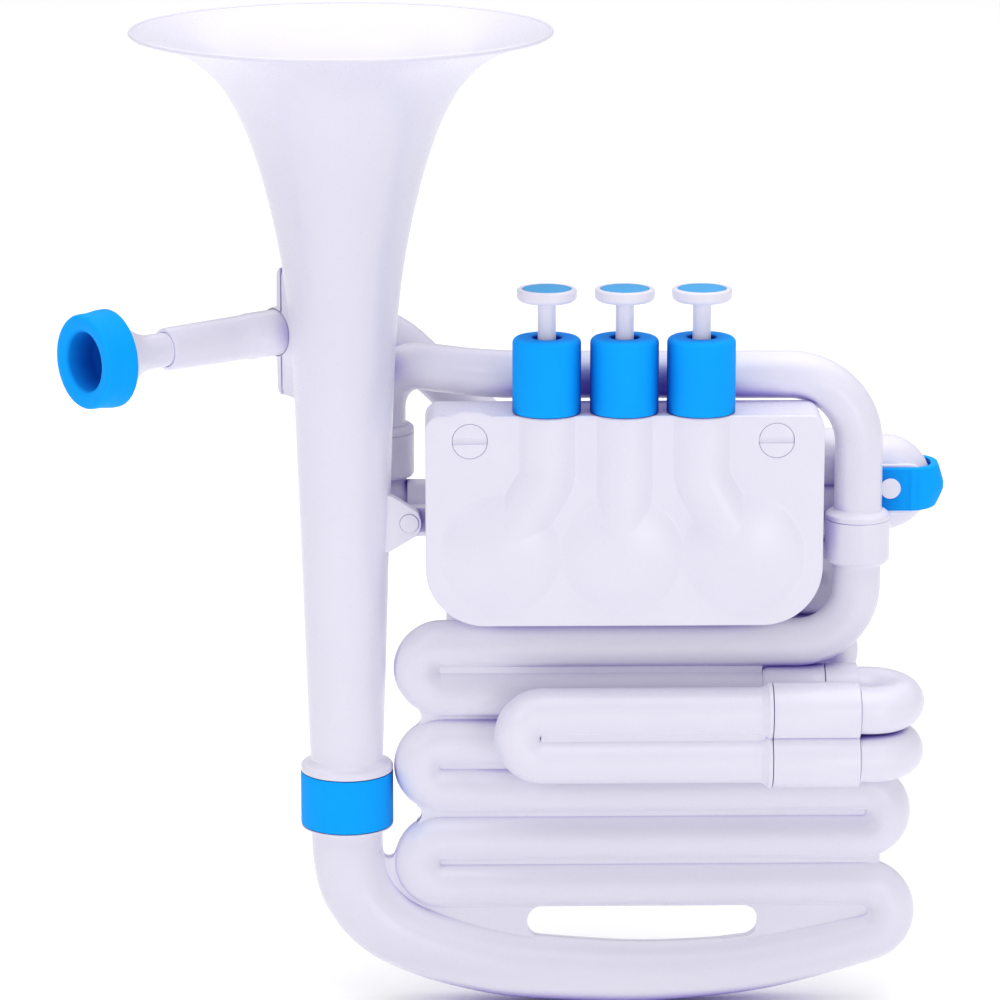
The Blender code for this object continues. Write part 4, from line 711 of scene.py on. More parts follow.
cup = soften([(0.0118, 0.0033), (0.0144, 0.0033), (0.0145, 0.0135), (0.0134, 0.0172), (0.0116, 0.0195),
              (0.0098, 0.0220), (0.0083, 0.0245), (0.0073, 0.0270), (0.0067, 0.0300), (0.00625, 0.0580),
              (0.0048, 0.0580), (0.0030, 0.0245), (0.0052, 0.0212), (0.0086, 0.0176), (0.0108, 0.0122),
              (0.0117, 0.0060)],
             [0, 0.0003, 0.005, 0.01, 0.01, 0.01, 0.005, 0.004, 0.008, 0.0004, 0, 0.002, 0, 0, 0, 0], 6)
piece("mouthpiece_turned", [turned(cup, MOUTH, PIPE_DIR, 96)], WHITE, "mouthpiece_unit", "mouthpiece")
receiver = soften([(0.0067, 0.0000), (0.0081, 0.0000), (0.0083, 0.0022), (0.0087, 0.0365), (0.00913, 0.0405),
                   (0.0070, 0.0405), (0.0070, 0.0460), (0.0058, 0.0460), (0.0058, 0.0230), (0.0067, 0.0230)],
                  [0.0002, 0.0008, 0, 0.004, 0, 0, 0, 0, 0, 0])
forms = [turned(receiver, PIPE_FOOT - 0.0630 * PIPE_DIR, PIPE_DIR, 72)]
piece("receiver_turned", forms, WHITE, "frame", "mouthpiece_receiver")

# %% [markdown]
# The lead pipe runs past the bell, turns down, and then runs to the right as the upper of the
# two rear rows. Where it passes the bell's plate, a thin half ring on the side away from the
# bell holds it, with a strip above and below the ring.

# %% Lead pipe and its clamp
REAR_Y, ROW_HIGH_Z, ROW_LOW_Z = 0.0250, 0.2169, 0.1971
lead = route([PIPE_FOOT - 0.0237 * PIPE_DIR, PIPE_FOOT + 0.0380 * PIPE_DIR, (0.0100, REAR_Y, ROW_HIGH_Z),
              (0.1123, REAR_Y, ROW_HIGH_Z)], [0.0320, 0.0360])
piece("lead_pipe_tube", [tube(lead, PIPE_R, TUBE_BORE)], WHITE, "frame", "lead_pipe")
CLAMP_RING_R, STRIP_NEAR, STRIP_FAR = 0.0100, 0.0012, 0.0037


def clamp_half():
    """A thin ring round the pipe's outer side, and a strip 1.2 to 3.7 mm from its axis toward the bell."""
    rings = []
    back_turn = math.acos(STRIP_FAR / CLAMP_BITE)
    back = np.linspace(2.0 * np.pi - back_turn, back_turn, 41)
    inner = np.stack([CLAMP_BITE * np.cos(back), CLAMP_BITE * np.sin(back)], -1)
    for s, inset in clamp_levels(0.0003):
        ring_r = CLAMP_RING_R - inset
        start = math.acos(STRIP_NEAR / ring_r)
        arc = np.linspace(start, 2.0 * np.pi - start, 41)
        outer = np.stack([ring_r * np.cos(arc), ring_r * np.sin(arc)], -1)
        low, high = CLAMP_LOW + inset, CLAMP_HIGH - inset
        near, bevel = STRIP_NEAR + inset, 0.0021 + inset
        below = [(near, low + 0.0022), (bevel, low + 0.0007), (0.0032, low), (STRIP_FAR, low)]
        above = [(STRIP_FAR, high), (0.0032, high), (bevel, high - 0.0007), (near, high - 0.0022)]
        rings.append(across_pipe(np.concatenate([outer, below, inner, above]), s))
    return capped(rings)


piece("clamp_half_ring", [clamp_half()], WHITE, "frame", "pipe_bracket")

# %% [markdown]
# ## Valves
# The block is a moulded box behind the case, with three turning rotors under round caps. Each
# rotor has a crank that a push rod's foot moves. The rotor chambers and the slots in the feet
# are cut in the engineering model. In this visual model the block and the feet are left
# closed, and the rotors and crank pins lie inside them, out of sight.

# %% Valve block, rotors and caps
ROTOR_X, ROTOR_Z, ROTOR_R = (-0.0003, 0.0463, 0.0930), 0.1924, 0.0125
TURN_WAY = (1.0, 1.0, -1.0)
CRANK_REACH = 0.00625
block = [plate(box_outline(-0.0225, 0.1696, 0.1085, 0.2072, 0.004), -0.0036, 0.0345, 0.0010)]
tab = soften([(-0.0200, 0.1935), (-0.0200, 0.2035), (-0.0360, 0.2035), (-0.0415, 0.2010), (-0.0415, 0.1960),
              (-0.0360, 0.1935)], [0, 0, 0.004, 0.003, 0.003, 0.004], 6)
block.append(holed(tab, LUG_PIN, 0.00395, -0.0012, 0.0045))
piece("valve_block_box", block, WHITE, "frame", "valve_block")


def stadium(a, b, radius, steps=12):
    """A flat bar's outline with round ends between two points."""
    a, b = np.asarray(a, float), np.asarray(b, float)
    heading = math.atan2(b[1] - a[1], b[0] - a[0])
    t = np.linspace(-np.pi / 2.0, np.pi / 2.0, steps + 1) + heading
    arc = radius * np.stack([np.cos(t), np.sin(t)], -1)
    return np.concatenate([b + arc, a - arc])


SPINDLE_R, CRANK_R, PEG_R, DIMPLE_R = 0.0050, 0.0040, 0.0020, 0.0040
SPINDLE_Y, ROTOR_Y, CAP_Y = -0.0146, (0.0125, 0.0336), (0.0339, 0.0378)
PEG_Y, CRANK_Y = (-0.0282, -0.0124), (-0.0150, -0.0118)
spindle = soften([(0.0, SPINDLE_Y), (SPINDLE_R, SPINDLE_Y), (SPINDLE_R, ROTOR_Y[0]), (ROTOR_R, ROTOR_Y[0]),
                  (ROTOR_R, ROTOR_Y[1]), (0.0, ROTOR_Y[1])], [0, 0.0003, 0, 0.0004, 0.0004, 0])
peg = soften([(0.0, PEG_Y[0]), (PEG_R, PEG_Y[0]), (PEG_R, PEG_Y[1]), (0.0, PEG_Y[1])], [0, 0.0003, 0, 0])
cap = soften([(0.0, CAP_Y[0]), (ROTOR_R, CAP_Y[0]), (ROTOR_R, CAP_Y[1]), (DIMPLE_R, CAP_Y[1]),
              (DIMPLE_R, 0.0368), (0.0, 0.0368)], [0, 0, 0.0008, 0.0003, 0.0001, 0])
for number, (x, side) in enumerate(zip(ROTOR_X, TURN_WAY), start=1):
    centre, pin = (x, 0.0, ROTOR_Z), (x + side * CRANK_REACH, ROTOR_Z + CRANK_REACH)
    crank = plate(stadium((x, ROTOR_Z), pin, CRANK_R), *CRANK_Y, 0.0004)
    forms = [knob(spindle, centre, Y_AXIS), crank, knob(peg, (pin[0], 0.0, pin[1]), Y_AXIS, 32)]
    piece(f"rotor_turned_{number}", forms, WHITE, f"valve_rotor_{number}", f"rotor_{number}")
    forms = [knob(cap, centre, Y_AXIS)]
    piece(f"rotor_cap_turned_{number}", forms, WHITE, "frame", f"rotor_cap_{number}")

# %% [markdown]
# The loops are the extra lengths of tube that each valve brings in. Two run under the block
# and one stands out behind it. The elbow takes the air back up to the left ferrule.

# %% Loops and return elbow
LOOP_R, LOOP_BORE = 0.0075, 0.0058
BLOCK_FLOOR = 0.1693
LOOP3_Z = (0.1770, 0.1610)
LOOP1_Z = (0.1457, 0.1304)
half = (LOOP3_Z[0] - LOOP3_Z[1]) / 2.0 - 0.0001
third = route([(0.1088, REAR_Y, LOOP3_Z[0]), (0.1348, REAR_Y, LOOP3_Z[0]), (0.1348, REAR_Y, LOOP3_Z[1]),
               (0.0880, REAR_Y, LOOP3_Z[1]), (0.0880, REAR_Y, BLOCK_FLOOR)], [half, half, 0.0076])
piece("loop_3_tube", [tube(third, LOOP_R, LOOP_BORE)], WHITE, "frame", "valve_loop_3")
half = (LOOP1_Z[0] - LOOP1_Z[1]) / 2.0 - 0.0001
first = route([(-0.0135, REAR_Y, BLOCK_FLOOR), (-0.0135, REAR_Y, LOOP1_Z[1]), (0.1359, REAR_Y, LOOP1_Z[1]),
               (0.1359, REAR_Y, LOOP1_Z[0]), (0.0045, REAR_Y, LOOP1_Z[0]), (0.0045, REAR_Y, BLOCK_FLOOR)],
              [0.0090, half, half, 0.0078])
piece("loop_1_tube", [tube(first, LOOP_R, LOOP_BORE)], WHITE, "frame", "valve_loop_1")
LOOP2_X, LOOP2_Y, LOOP2_Z = (0.0318, 0.0608), (0.0373, 0.0560), 0.1776
second = route([(LOOP2_X[0], LOOP2_Y[0], LOOP2_Z), (LOOP2_X[0], LOOP2_Y[1], LOOP2_Z),
                (LOOP2_X[1], LOOP2_Y[1], LOOP2_Z), (LOOP2_X[1], LOOP2_Y[0], LOOP2_Z)], [0.0144, 0.0144])
piece("loop_2_tube", [tube(second, LOOP_R, LOOP_BORE, hint=Z_AXIS)], WHITE, "frame", "valve_loop_2")
elbow = route([(-0.0228, REAR_Y, ROW_LOW_Z), (-0.0270, REAR_Y, ROW_LOW_Z), (*LEFT_FERRULE, ROW_LOW_Z),
               (*LEFT_FERRULE, 0.2200)], [0.0100, 0.0125])
sleeve = soften([(SLEEVE_BORE, -0.0363), (0.0114, -0.0363), (0.0114, -0.0228), (SLEEVE_BORE, -0.0228)],
                [0, 0.0004, 0, 0])
forms = [tube(elbow, TUBE_R, TUBE_BORE, hint=Z_AXIS), turned(sleeve, (0.0, REAR_Y, ROW_LOW_Z), X_AXIS)]
piece("return_elbow_tube", forms, WHITE, "frame", "return_elbow")

# %% [markdown]
# ## Rear bend and drain key
# A double socket takes the rear bend. Over the bend sits a flat-sided saddle, and a thin web
# joins the two rows.

# %% Rear socket and bend
WEB_HALF = 0.0020


def rear_web(x0, z0, x1, z1):
    """A thin sheet in the plane of the rear rows."""
    return plate(box_outline(x0, z0, x1, z1, 0.0002), REAR_Y - WEB_HALF, REAR_Y + WEB_HALF, 0.0004)


socket = soften([(SLEEVE_BORE, 0.0), (0.0118, 0.0), (0.0118, 0.0242), (SLEEVE_BORE, 0.0242)],
                [0, 0.0007, 0.0009, 0])
forms = [turned(socket, (0.1088, REAR_Y, z), X_AXIS) for z in (ROW_HIGH_Z, ROW_LOW_Z)]
forms.append(rear_web(0.1088, 0.1835, 0.1325, 0.1870))
piece("rear_socket_double", forms, WHITE, "frame", "rear_socket")
rear_line = route([(0.1130, REAR_Y, ROW_HIGH_Z), (0.1616, REAR_Y, ROW_HIGH_Z), (0.1616, REAR_Y, ROW_LOW_Z),
                   (0.1093, REAR_Y, ROW_LOW_Z)], [0.0099, 0.0099])
saddle = soften([(0.1468, 0.1960), (0.1625, 0.1960), (0.1680, 0.2010), (0.1698, 0.2070), (0.1680, 0.2125),
                 (0.1632, 0.2163), (0.1468, 0.2163)], [0.001, 0.006, 0.006, 0.008, 0.006, 0.006, 0.001], 8)
forms = [tube(rear_line, TUBE_R, BEND_BORE), plate(saddle, REAR_Y - 0.0101, REAR_Y + 0.0101, 0.0008),
         rear_web(0.1125, 0.2045, 0.1600, 0.2095)]
piece("rear_bend_tube", forms, WHITE, "frame", "rear_bend")

# %% [markdown]
# The blue drain key is a soft U round the saddle, and turns on two white pins. Its closed end is
# rounded in plan and drawn in at the top and the bottom, and two small ridges cross it. The
# pins pass into its closed walls; the holes for them are in the engineering model.

# %% Drain key and pins
KEY_X0, KEY_END_X, KEY_SIDE, KEY_BEND = 0.1468, 0.1719, 0.0120, 0.0100
KEY_Z, KEY_HALF_WALL = (0.1982, 0.2153), 0.0016
KEY_CHAMFER, KEY_CROWN, KEY_UNDERCUT, KEY_FLAT = 0.0010, 0.0022, 0.0010, 0.0012
RIDGES, RIDGE_RISE, RIDGE_HALF = (0.1620, 0.1648), 0.0003, 0.0009


def drain_key():
    """Section points (a, b), a outward and b up, swept in plan; a grows by the crown at the closed end."""
    near, far = REAR_Y - KEY_SIDE, REAR_Y + KEY_SIDE
    corners = [(KEY_X0, near, 0.0), (KEY_END_X, near, 0.0), (KEY_END_X, far, 0.0), (KEY_X0, far, 0.0)]
    plan = spread(route(corners, [KEY_BEND, KEY_BEND], 0.0005), 0.0005)
    heading = np.gradient(plan, axis=0)
    heading /= np.linalg.norm(heading, axis=1)[:, None]
    outward = np.stack([heading[:, 1], -heading[:, 0], 0 * heading[:, 0]], -1)
    middle, half_z = sum(KEY_Z) / 2.0, (KEY_Z[1] - KEY_Z[0]) / 2.0
    w = KEY_HALF_WALL
    section = spread(soften([(-w, -half_z), (w, -half_z), (w, half_z), (-w, half_z)], 0.0006, 5), 0.0006)
    a, b = section[:, 0], section[:, 1]
    crown = (KEY_CROWN * (1.0 - np.clip((np.abs(b) - KEY_FLAT) / (half_z - KEY_FLAT), 0.0, 1.0))
             - KEY_UNDERCUT * np.clip(-b / half_z, 0.0, 1.0) ** 2)
    end = np.clip((plan[:, 0] - (KEY_END_X - KEY_BEND)) / KEY_BEND, 0.0, 1.0)
    end = end * end * (3.0 - 2.0 * end)
    ridge = sum(RIDGE_RISE * np.exp(-((plan[:, 0] - x) / RIDGE_HALF) ** 2) for x in RIDGES)
    outer_face = np.where(a > 0.0010, 1.0, 0.0)
    reach = a[None, :] + end[:, None] * crown[None, :] + outer_face[None, :] * ridge[:, None]
    limit = half_z - np.maximum(KEY_CHAMFER - (plan[:, :1] - KEY_X0), 0.0)
    height = middle + np.clip(b[None, :], -limit, limit)
    return capped(plan[:, None] + reach[..., None] * outward[:, None] + height[..., None] * Z_AXIS)


piece("drain_key_soft", [drain_key()], BLUE, "key", "drain_key", sharp=50.0)
KEY_PIVOT = (0.1536, 0.2073)
peg = soften([(0.0, 0.0104), (0.0041, 0.0104), (0.0041, 0.0140), (0.0, 0.0140)], [0, 0, 0.0003, 0])
for name, sign in (("drain_key_pin_front", -1.0), ("drain_key_pin_rear", 1.0)):
    forms = [knob(peg, (KEY_PIVOT[0], REAR_Y, KEY_PIVOT[1]), sign * Y_AXIS, 48)]
    piece(name + "_round", forms, WHITE, "frame", name)

# %% [markdown]
# ## Front tuning slide
# The slide is a U of tube with a lip at the end of each leg. Two thinner spigots go into the
# double socket, and two crooks turn from there back to the body.

# %% Slide, its socket and the side crooks
SLIDE_Y, SLIDE_Z = -0.0250, (0.1273, 0.1078)
SIDE_BEND = 0.0124
turn_r = (SLIDE_Z[0] - SLIDE_Z[1]) / 2.0
leg_x, bend_x = 0.1044, 0.0163 - turn_r
slide_line = route([(leg_x, SLIDE_Y, SLIDE_Z[0]), (bend_x, SLIDE_Y, SLIDE_Z[0]),
                    (bend_x, SLIDE_Y, SLIDE_Z[1]), (leg_x, SLIDE_Y, SLIDE_Z[1])], [turn_r, turn_r])
flange = soften([(0.0085, 0.1010), (0.00925, 0.1010), (0.0104, 0.1031), (0.0112, 0.1040), (0.0112, 0.1054),
                 (0.0085, 0.1054)], [0, 0.0020, 0.0010, 0.0006, 0.0003, 0])


def thin_tube(start, end, radii):
    """The profile of a spigot between two heights."""
    return soften([(BEND_BORE, start), (SPIGOT_R, start), (SPIGOT_R, end), (BEND_BORE, end)], radii)


spigot = thin_tube(0.1050, 0.1350, [0, 0, 0.0004, 0.0002])
sheet = box_outline(0.0155, SLIDE_Z[1], 0.1030, SLIDE_Z[0], 0.0002)
web = plate(sheet, SLIDE_Y - 0.0040, SLIDE_Y + 0.0040, 0.0004, ends=(False, False))
forms = [tube(slide_line, TUBE_R, BEND_BORE), web]
for z in SLIDE_Z:
    forms += [turned(flange, (0.0, SLIDE_Y, z), X_AXIS), turned(spigot, (0.0, SLIDE_Y, z), X_AXIS)]
piece("slide_u_tube", forms, WHITE, "slide", "tuning_slide")
socket = soften([(0.0090, 0.1057), (0.0112, 0.1057), (0.0112, 0.1395), (0.0090, 0.1395)],
                [0.0002, 0.0003, 0.0007, 0.0002])
forms = [turned(socket, (0.0, SLIDE_Y, z), X_AXIS) for z in SLIDE_Z]
piece("slide_socket_double", forms, WHITE, "frame", "slide_receiver")
collar = soften([(SLEEVE_BORE, 0.1278), (0.0108, 0.1278), (0.0108, 0.1407), (SLEEVE_BORE, 0.1407)],
                [0, 0.0003, 0.0005, 0])
inner = thin_tube(0.1056, 0.1350, [0.0002, 0.0004, 0, 0])
short = thin_tube(0.1365, 0.1410, [0.0002, 0.0004, 0, 0])
for name, front_z, rear_z in (("side_crook_upper", SLIDE_Z[0], row_z(1)),
                              ("side_crook_lower", SLIDE_Z[1], row_z(2))):
    line = route([(0.1398, SLIDE_Y, front_z), (0.1568, SLIDE_Y, front_z), (0.1568, 0.0, rear_z),
                  (0.1278, 0.0, rear_z)], [SIDE_BEND, SIDE_BEND])
    forms = [tube(line, TUBE_R, BEND_BORE, hint=Z_AXIS), turned(collar, (0.0, 0.0, rear_z), X_AXIS),
             turned(inner, (0.0, 0.0, rear_z), X_AXIS), turned(short, (0.0, SLIDE_Y, front_z), X_AXIS)]
    piece(name + "_tube", forms, WHITE, "frame", name)

# %% [markdown]
# ## Valve case
# The case is a box, open at the front: one wall that goes all the way round, and a back plate.
# The walls are closed. The openings for the push rods and the rotors' spindles are in the
# engineering model, and here the rods and spindles simply pass through.

# %% Case
CASE_X, CASE_Z, CASE_Y = (-0.0291, 0.1236), (0.1638, 0.2467), (-0.0302, -0.0042)
CASE_LOW_R, CASE_TOP_R, CASE_WALL = 0.0230, 0.0055, 0.0022
ROD_X, ROD_Y = (0.0174, 0.0471, 0.0765), -0.0250
corner_r = np.array([CASE_LOW_R, CASE_LOW_R, CASE_TOP_R, CASE_TOP_R])
whole = box_outline(CASE_X[0], CASE_Z[0], CASE_X[1], CASE_Z[1], corner_r, 24)
w = CASE_WALL
hollow = box_outline(CASE_X[0] + w, CASE_Z[0] + w, CASE_X[1] - w, CASE_Z[1] - w, corner_r - w, 24)
case = [plate(whole, CASE_Y[1] - w, CASE_Y[1], 0.0010, ends=(False, True))]
wall_end = CASE_Y[1] - w - 0.0001
rim = [(hollow, wall_end), (hollow, CASE_Y[0] + 0.0001), (whole, CASE_Y[0]), (whole, wall_end)]
points = np.concatenate([np.stack([o[:, 0], np.full(len(o), y), o[:, 1]], -1) for o, y in rim])
case.append(solid(points, quads(4, len(whole), wrap_rows=True)))
piece("case_box", case, WHITE, "frame", "valve_case")

# %% [markdown]
# ## Valve cover
# The cover is the front of the case. Three domes stand on it, and three round channels run down
# to them from the push rods, the outer two with a bend. This is a height field: a grid over the
# cover's outline, with the greatest of the dome and channel heights at each point. Where the two
# meet, the larger wins, which draws the pointed arches by itself. The back is flat and closed,
# so the screws pass through it.

# %% Valve cover
COVER_FACE, COVER_BACK = -0.0330, -0.0305
DOME_R, DOME_RISE = 0.0232, 0.0050
CHANNEL_HALF, CHANNEL_RISE = 0.0105, 0.0044
SCREWS = ((-0.0121, 0.2370), (0.1052, 0.2370))
SCREW_R, RECESS, RING_R = 0.0067, 0.0017, 0.0084
COVER_EDGE = 0.0009
CORNER_SWELL, SWELL_HALF = 0.0017, 0.0062
EDGE_ROWS = np.array([0.0, 0.00004, 0.00015, 0.00034, 0.0006, 0.0009])
FACE_ROWS, FACE_COLUMNS, CORNER_COLUMNS = 190, 262, 64


def cap_height(distance, half_width, rise):
    """A circle's segment, rise at the middle and nothing at half_width: rise - R + sqrt(R^2 - d^2)."""
    radius = (half_width ** 2 + rise ** 2) / (2.0 * rise)
    return rise - radius + np.sqrt(np.maximum(radius ** 2 - np.minimum(distance, radius) ** 2, 0.0))


def far_from(x, z, line):
    """Distance of each grid point from a line of short steps."""
    best = np.full(x.shape, 1.0)
    for a, b in zip(line[:-1], line[1:]):
        along = b - a
        share = np.clip(((x - a[0]) * along[0] + (z - a[1]) * along[1]) / (along @ along), 0.0, 1.0)
        best = np.minimum(best, np.hypot(x - a[0] - share * along[0], z - a[1] - share * along[1]))
    return best


def corner_reach(radius, inset):
    """How far a corner's circle reaches from its centre: sqrt(r^2 - (r - inset)^2), at most r."""
    return np.sqrt(np.maximum(radius ** 2 - np.maximum(radius - inset, 0.0) ** 2, 0.0))


def cover_grid():
    """Columns across, closer near the sides; rows up the outline, closer at its lower and upper edge."""
    quarter = np.linspace(0.0, np.pi / 2.0, CORNER_COLUMNS)
    left = CASE_X[0] + CASE_LOW_R * (1.0 - np.cos(quarter))
    right = CASE_X[1] - CASE_LOW_R * (1.0 - np.cos(quarter[::-1]))
    x = np.concatenate([left, np.linspace(left[-1], right[0], FACE_COLUMNS)[1:-1], right])
    inset = np.minimum(x - CASE_X[0], CASE_X[1] - x)
    low = CASE_Z[0] + CASE_LOW_R - corner_reach(CASE_LOW_R, inset)
    high = CASE_Z[1] - CASE_TOP_R + corner_reach(CASE_TOP_R, inset)
    swell = CORNER_SWELL * np.exp(-((x - SCREWS[0][0]) / SWELL_HALF) ** 4)
    high = high + swell * np.clip(inset / 0.004, 0.0, 1.0)
    z = []
    for bottom, top in zip(low, high):
        face = np.linspace(bottom + EDGE_ROWS[-1], top - EDGE_ROWS[-1], FACE_ROWS)
        z.append(np.concatenate([bottom + EDGE_ROWS[:-1], face, top - EDGE_ROWS[-2::-1]]))
    z = np.array(z)
    return np.repeat(x[:, None], z.shape[1], 1), z


def edge_distance(x, z):
    """Distance in from the sides and the foot: at a lower corner, its radius less the way to its centre."""
    d = np.minimum(np.minimum(x - CASE_X[0], CASE_X[1] - x), z - CASE_Z[0])
    for cx, sx in ((CASE_X[0] + CASE_LOW_R, -1.0), (CASE_X[1] - CASE_LOW_R, 1.0)):
        here = (sx * (x - cx) > 0.0) & (z < CASE_Z[0] + CASE_LOW_R)
        d = np.where(here, CASE_LOW_R - np.hypot(x - cx, z - CASE_Z[0] - CASE_LOW_R), d)
    return d


gx, gz = cover_grid()
rise = np.zeros_like(gx)
for x in ROTOR_X:
    rise = np.maximum(rise, cap_height(np.hypot(gx - x, gz - ROTOR_Z), DOME_R, DOME_RISE))
for x, target in zip(ROD_X, ROTOR_X):
    line = route([(x, 0.0, 0.2600), (x, 0.0, 0.2225), (target, 0.0, ROTOR_Z)], [0.0130], 0.0010)[:, [0, 2]]
    rise = np.maximum(rise, cap_height(far_from(gx, gz, line), CHANNEL_HALF, CHANNEL_RISE))
near = np.clip(np.minimum(edge_distance(gx, gz), gz[:, -1:] - gz), 0.0, COVER_EDGE)
rise = rise - (COVER_EDGE - np.sqrt(np.maximum(COVER_EDGE ** 2 - (COVER_EDGE - near) ** 2, 0.0)))
hole, snap = RING_R - 0.0008, 0.00026
for sx, sz in SCREWS:
    r = np.hypot(gx - sx, gz - sz)
    snap_out = (r >= hole) & (r < hole + snap)
    snap_in = (r < hole) & (r > hole - snap)
    for mask, to in ((snap_out, hole), (snap_in, hole - 0.00004)):
        gx = np.where(mask, sx + (gx - sx) * to / np.maximum(r, 1e-9), gx)
        gz = np.where(mask, sz + (gz - sz) * to / np.maximum(r, 1e-9), gz)
    rise = np.where(r < hole, -RECESS, rise)
columns, rows_up = gx.shape
front = np.stack([gx, COVER_FACE - rise, gz], -1).reshape(-1, 3)
index = np.arange(columns * rows_up).reshape(columns, rows_up)
border = np.concatenate([index[:, 0], index[-1, 1:], index[-2::-1, -1], index[0, -2:0:-1]])
back = front[border].copy()
back[:, 1] = COVER_BACK
sides = len(border)
back_ids = len(front) + np.arange(sides)
wall_faces = np.stack([border, np.roll(border, -1), np.roll(back_ids, -1), back_ids], -1)
front_faces = quads(columns, rows_up, wrap_cols=False)
cover_points = np.concatenate([front, back])
cover_form = (cover_points, [front_faces, wall_faces[:, ::-1], back_ids[None]])
print("cover grid", columns, "x", rows_up, "volume", volume_of(cover_points, cover_form[1]))
ring_bore, proud = SCREW_R + 0.00013, -0.00001
ring_line = soften([(ring_bore, proud), (RING_R, proud), (RING_R, RECESS), (ring_bore, RECESS)],
                   [0.00015, 0, 0, 0])
rings = [turned(ring_line, (x, COVER_FACE, z), Y_AXIS, 96) for x, z in SCREWS]
piece("cover_relief", [cover_form] + rings, WHITE, "frame", "valve_cover", sharp=50.0)

# %% [markdown]
# The two screws are turned by a coin. Each is a round base with two half discs on it, and the
# slot is the space between them.

# %% Coin-turn screws
SCREW_TOP, SLOT_DEPTH, SLOT_HALF = -0.0002, 0.0011, 0.00115
SHANK_R, SCREW_END = 0.0030, 0.0230
floor = SCREW_TOP + SLOT_DEPTH
screw_line = soften([(0.0, floor), (SCREW_R, floor), (SCREW_R, 0.0014), (SHANK_R, 0.0014),
                     (SHANK_R, SCREW_END), (0.0, SCREW_END)], [0, 0, 0.0001, 0, 0.0003, 0])
limit = math.asin(SLOT_HALF / SCREW_R)
arc = np.linspace(limit, np.pi - limit, 40)
for side, (x, z) in zip(("left", "right"), SCREWS):
    forms = [knob(screw_line, (x, COVER_FACE, z), Y_AXIS, 72)]
    for sign in (1, -1):
        half_disc = np.stack([x + SCREW_R * np.cos(arc), z + sign * SCREW_R * np.sin(arc)], -1)
        forms.append(plate(half_disc[::sign], COVER_FACE + SCREW_TOP, COVER_FACE + floor + 0.0001, 0.0003,
                           ends=(True, False)))
    piece(f"cover_screw_{side}_coin", forms, WHITE, f"screw_{side}", f"cover_screw_{side}")

# %% [markdown]
# ## Buttons
# Each button is a disc on a thin rod. The rod goes down through a soft blue collar into the
# case, where its foot drives the crank and a spring lifts it. A harder blue disc lies in the
# top. When a button is down, its spring keeps 0.694 of its height over the seat.

# %% Rods, buttons, discs, collars and springs
CAP_TOP, CAP_R, ROD_R, DISC_R = 0.2949, 0.0115, 0.0035, 0.0092
CAP_LOW, COLLAR_TOP = CAP_TOP - 0.0048, 0.2760
BEAD_R, COLLAR_R, COLLAR_BORE, ROD_HOLE_R = 0.0068, 0.01315, 0.0084, 0.0055
FOOT_HALF_Z, FOOT_HALF_Y = 0.0060, 0.0020
SPRING_SEAT, SPRING_TOP, SPRING_R, WIRE_R, COILS = 0.2208, 0.2612, 0.0055, 0.0005, 6.0
foot_z, seat, dish = ROTOR_Z + CRANK_REACH, CAP_LOW + 0.0022, CAP_TOP - 0.0009
lip_bore, collar_floor = DISC_R + 0.0002, COLLAR_TOP - 0.0030
rod = soften([(0.0, foot_z), (ROD_R, foot_z), (ROD_R, 0.2620), (BEAD_R, 0.2620), (BEAD_R, 0.2645),
              (ROD_R, 0.2645), (ROD_R, seat), (0.0, seat)], [0, 0, 0, 0.0004, 0.0004, 0, 0, 0])
cap = soften([(0.0, CAP_LOW), (CAP_R - 0.0012, CAP_LOW), (CAP_R, CAP_LOW + 0.0012), (CAP_R, CAP_TOP),
              (lip_bore, CAP_TOP), (lip_bore, dish), (0.0, dish)], [0, 0.0014, 0.0014, 0.0010, 0.0002, 0, 0])
disc = soften([(0.0, CAP_TOP - 0.0006), (DISC_R, CAP_TOP - 0.0006), (DISC_R, CAP_TOP), (0.0, CAP_TOP)],
              [0, 0, 0.0002, 0])
collar = soften([(COLLAR_BORE, 0.2470), (COLLAR_R, 0.2470), (COLLAR_R, COLLAR_TOP), (ROD_HOLE_R, COLLAR_TOP),
                 (ROD_HOLE_R, collar_floor), (COLLAR_BORE, collar_floor)],
                [0, 0.0004, 0.0022, 0.0008, 0.0003, 0.0003], 8)
turns = np.linspace(0.0, 2.0 * COILS * np.pi, 289)
for number, (x, centre, side) in enumerate(zip(ROD_X, ROTOR_X, TURN_WAY), start=1):
    body, base = f"plunger_{number}", (x, ROD_Y, 0.0)
    near_x, far_x = centre + side * CRANK_REACH, centre + side * 0.00884
    low, high = min(x, near_x, far_x) - 0.0045, max(x, near_x, far_x) + 0.0045
    outline = box_outline(low, foot_z - FOOT_HALF_Z, high, foot_z + FOOT_HALF_Z, 0.0020)
    foot = plate(outline, ROD_Y - FOOT_HALF_Y, ROD_Y + FOOT_HALF_Y, 0.0004)
    piece(f"push_rod_round_{number}", [knob(rod, base, Z_AXIS, 48), foot], WHITE, body, f"push_rod_{number}")
    piece(f"button_cap_{number}", [knob(cap, base, Z_AXIS, 96)], WHITE, body, f"button_{number}")
    piece(f"button_disc_{number}", [knob(disc, base, Z_AXIS, 96)], DISC_BLUE, body, f"button_inlay_{number}")
    forms = [turned(collar, base, Z_AXIS, 96)]
    piece(f"collar_soft_{number}", forms, BLUE, "frame", f"valve_collar_{number}")
    low = SPRING_SEAT + WIRE_R
    coil = np.stack([x + SPRING_R * np.cos(turns), ROD_Y + SPRING_R * np.sin(turns),
                     low + (SPRING_TOP - low) * turns / turns[-1]], -1)
    wire = tube(coil, WIRE_R, hint=Z_AXIS, sides=12)
    spring = piece(f"spring_coil_{number}", [wire], STEEL, "frame", f"return_spring_{number}")
    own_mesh(spring)

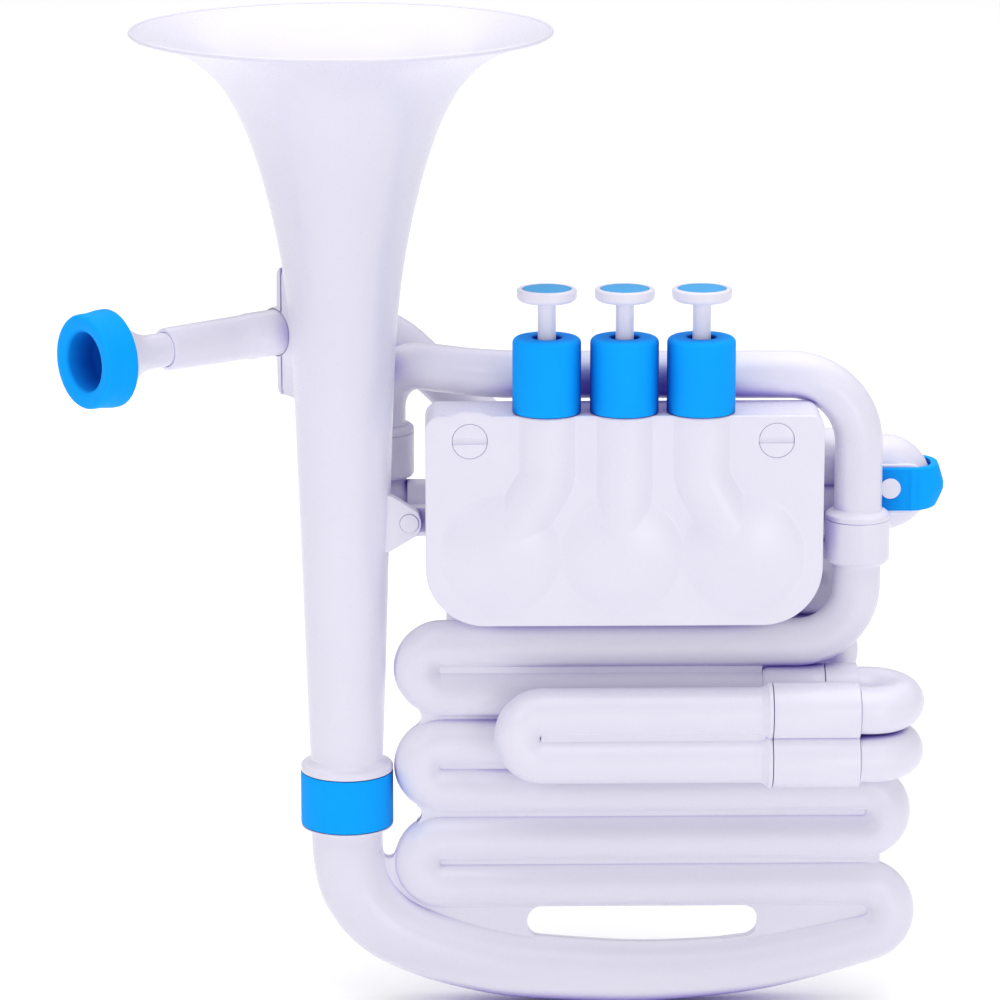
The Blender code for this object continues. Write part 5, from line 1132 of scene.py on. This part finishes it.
# %% [markdown]
# ## Studio
# The horn stands upright on its bow, as in the photograph, on a pale floor. Five square area
# lamps light it: one at the left in front, one low in front at the right, a large one overhead,
# the largest over the floor behind it, which makes the ground white, and a small one at the
# right for highlights. The sky is white too. The camera has a long lens, and looks from 1.8 m
# away and 13.6 degrees above level.

# %% Floor, lights and camera
def lamp(name, place, target, size, power):
    """A square area light that looks at a target."""
    data = bpy.data.lights.new(name, "AREA")
    data.size = size
    data.energy = power
    made = bpy.data.objects.new(name, data)
    made.location = place
    made.rotation_euler = (Vector(target) - Vector(place)).to_track_quat("-Z", "Y").to_euler()
    bpy.context.scene.collection.objects.link(made)
    return made


floor_mesh = bpy.data.meshes.new("floor")
floor_mesh.from_pydata([(-6, -6, 0), (6, -6, 0), (6, 6, 0), (-6, 6, 0)], [], [(0, 1, 2, 3)])
floor = bpy.data.objects.new("floor", floor_mesh)
bpy.context.scene.collection.objects.link(floor)
pale = bpy.data.materials.new("pale_floor")
pale.use_nodes = True
pale.node_tree.nodes["Principled BSDF"].inputs["Base Color"].default_value = linear("#FDFDFD")
pale.node_tree.nodes["Principled BSDF"].inputs["Roughness"].default_value = 0.9
floor_mesh.materials.append(pale)

AIM = (-0.0030, 0.0, 0.2061)
lamp("key_left", (-1.7, -2.1, 1.5), AIM, 1.0, 9.0)
lamp("front_low", (1.1, -2.7, 0.35), AIM, 1.0, 9.5)
lamp("overhead", (0.0, -0.6, 3.3), AIM, 3.5, 46.0)
lamp("backdrop", (0.0, 1.7, 3.2), (0.0, 1.7, 0.0), 6.0, 108.0)
lamp("sparkle_right", (1.2, -1.6, 1.3), AIM, 0.3, 2.0)
world = bpy.data.worlds.new("studio")
world.use_nodes = True
world.node_tree.nodes["Background"].inputs["Color"].default_value = linear("#FFFFFF")
world.node_tree.nodes["Background"].inputs["Strength"].default_value = 0.47
bpy.context.scene.world = world
bpy.context.scene.view_settings.view_transform = "Standard"

DISTANCE, AZIMUTH, ELEVATION = 1.794, math.radians(-1.0), math.radians(13.6)
camera = bpy.data.objects.new("camera", bpy.data.cameras.new("camera"))
camera.data.lens = 165.6
camera.data.sensor_width = 36.0
level = math.cos(ELEVATION)
away = Vector((math.sin(AZIMUTH) * level, -math.cos(AZIMUTH) * level, math.sin(ELEVATION)))
camera.location = Vector(AIM) + DISTANCE * away
camera.rotation_euler = (-away).to_track_quat("-Z", "Y").to_euler()
bpy.context.scene.collection.objects.link(camera)
bpy.context.scene.camera = camera
print("camera at", np.round(camera.location, 4).tolist())
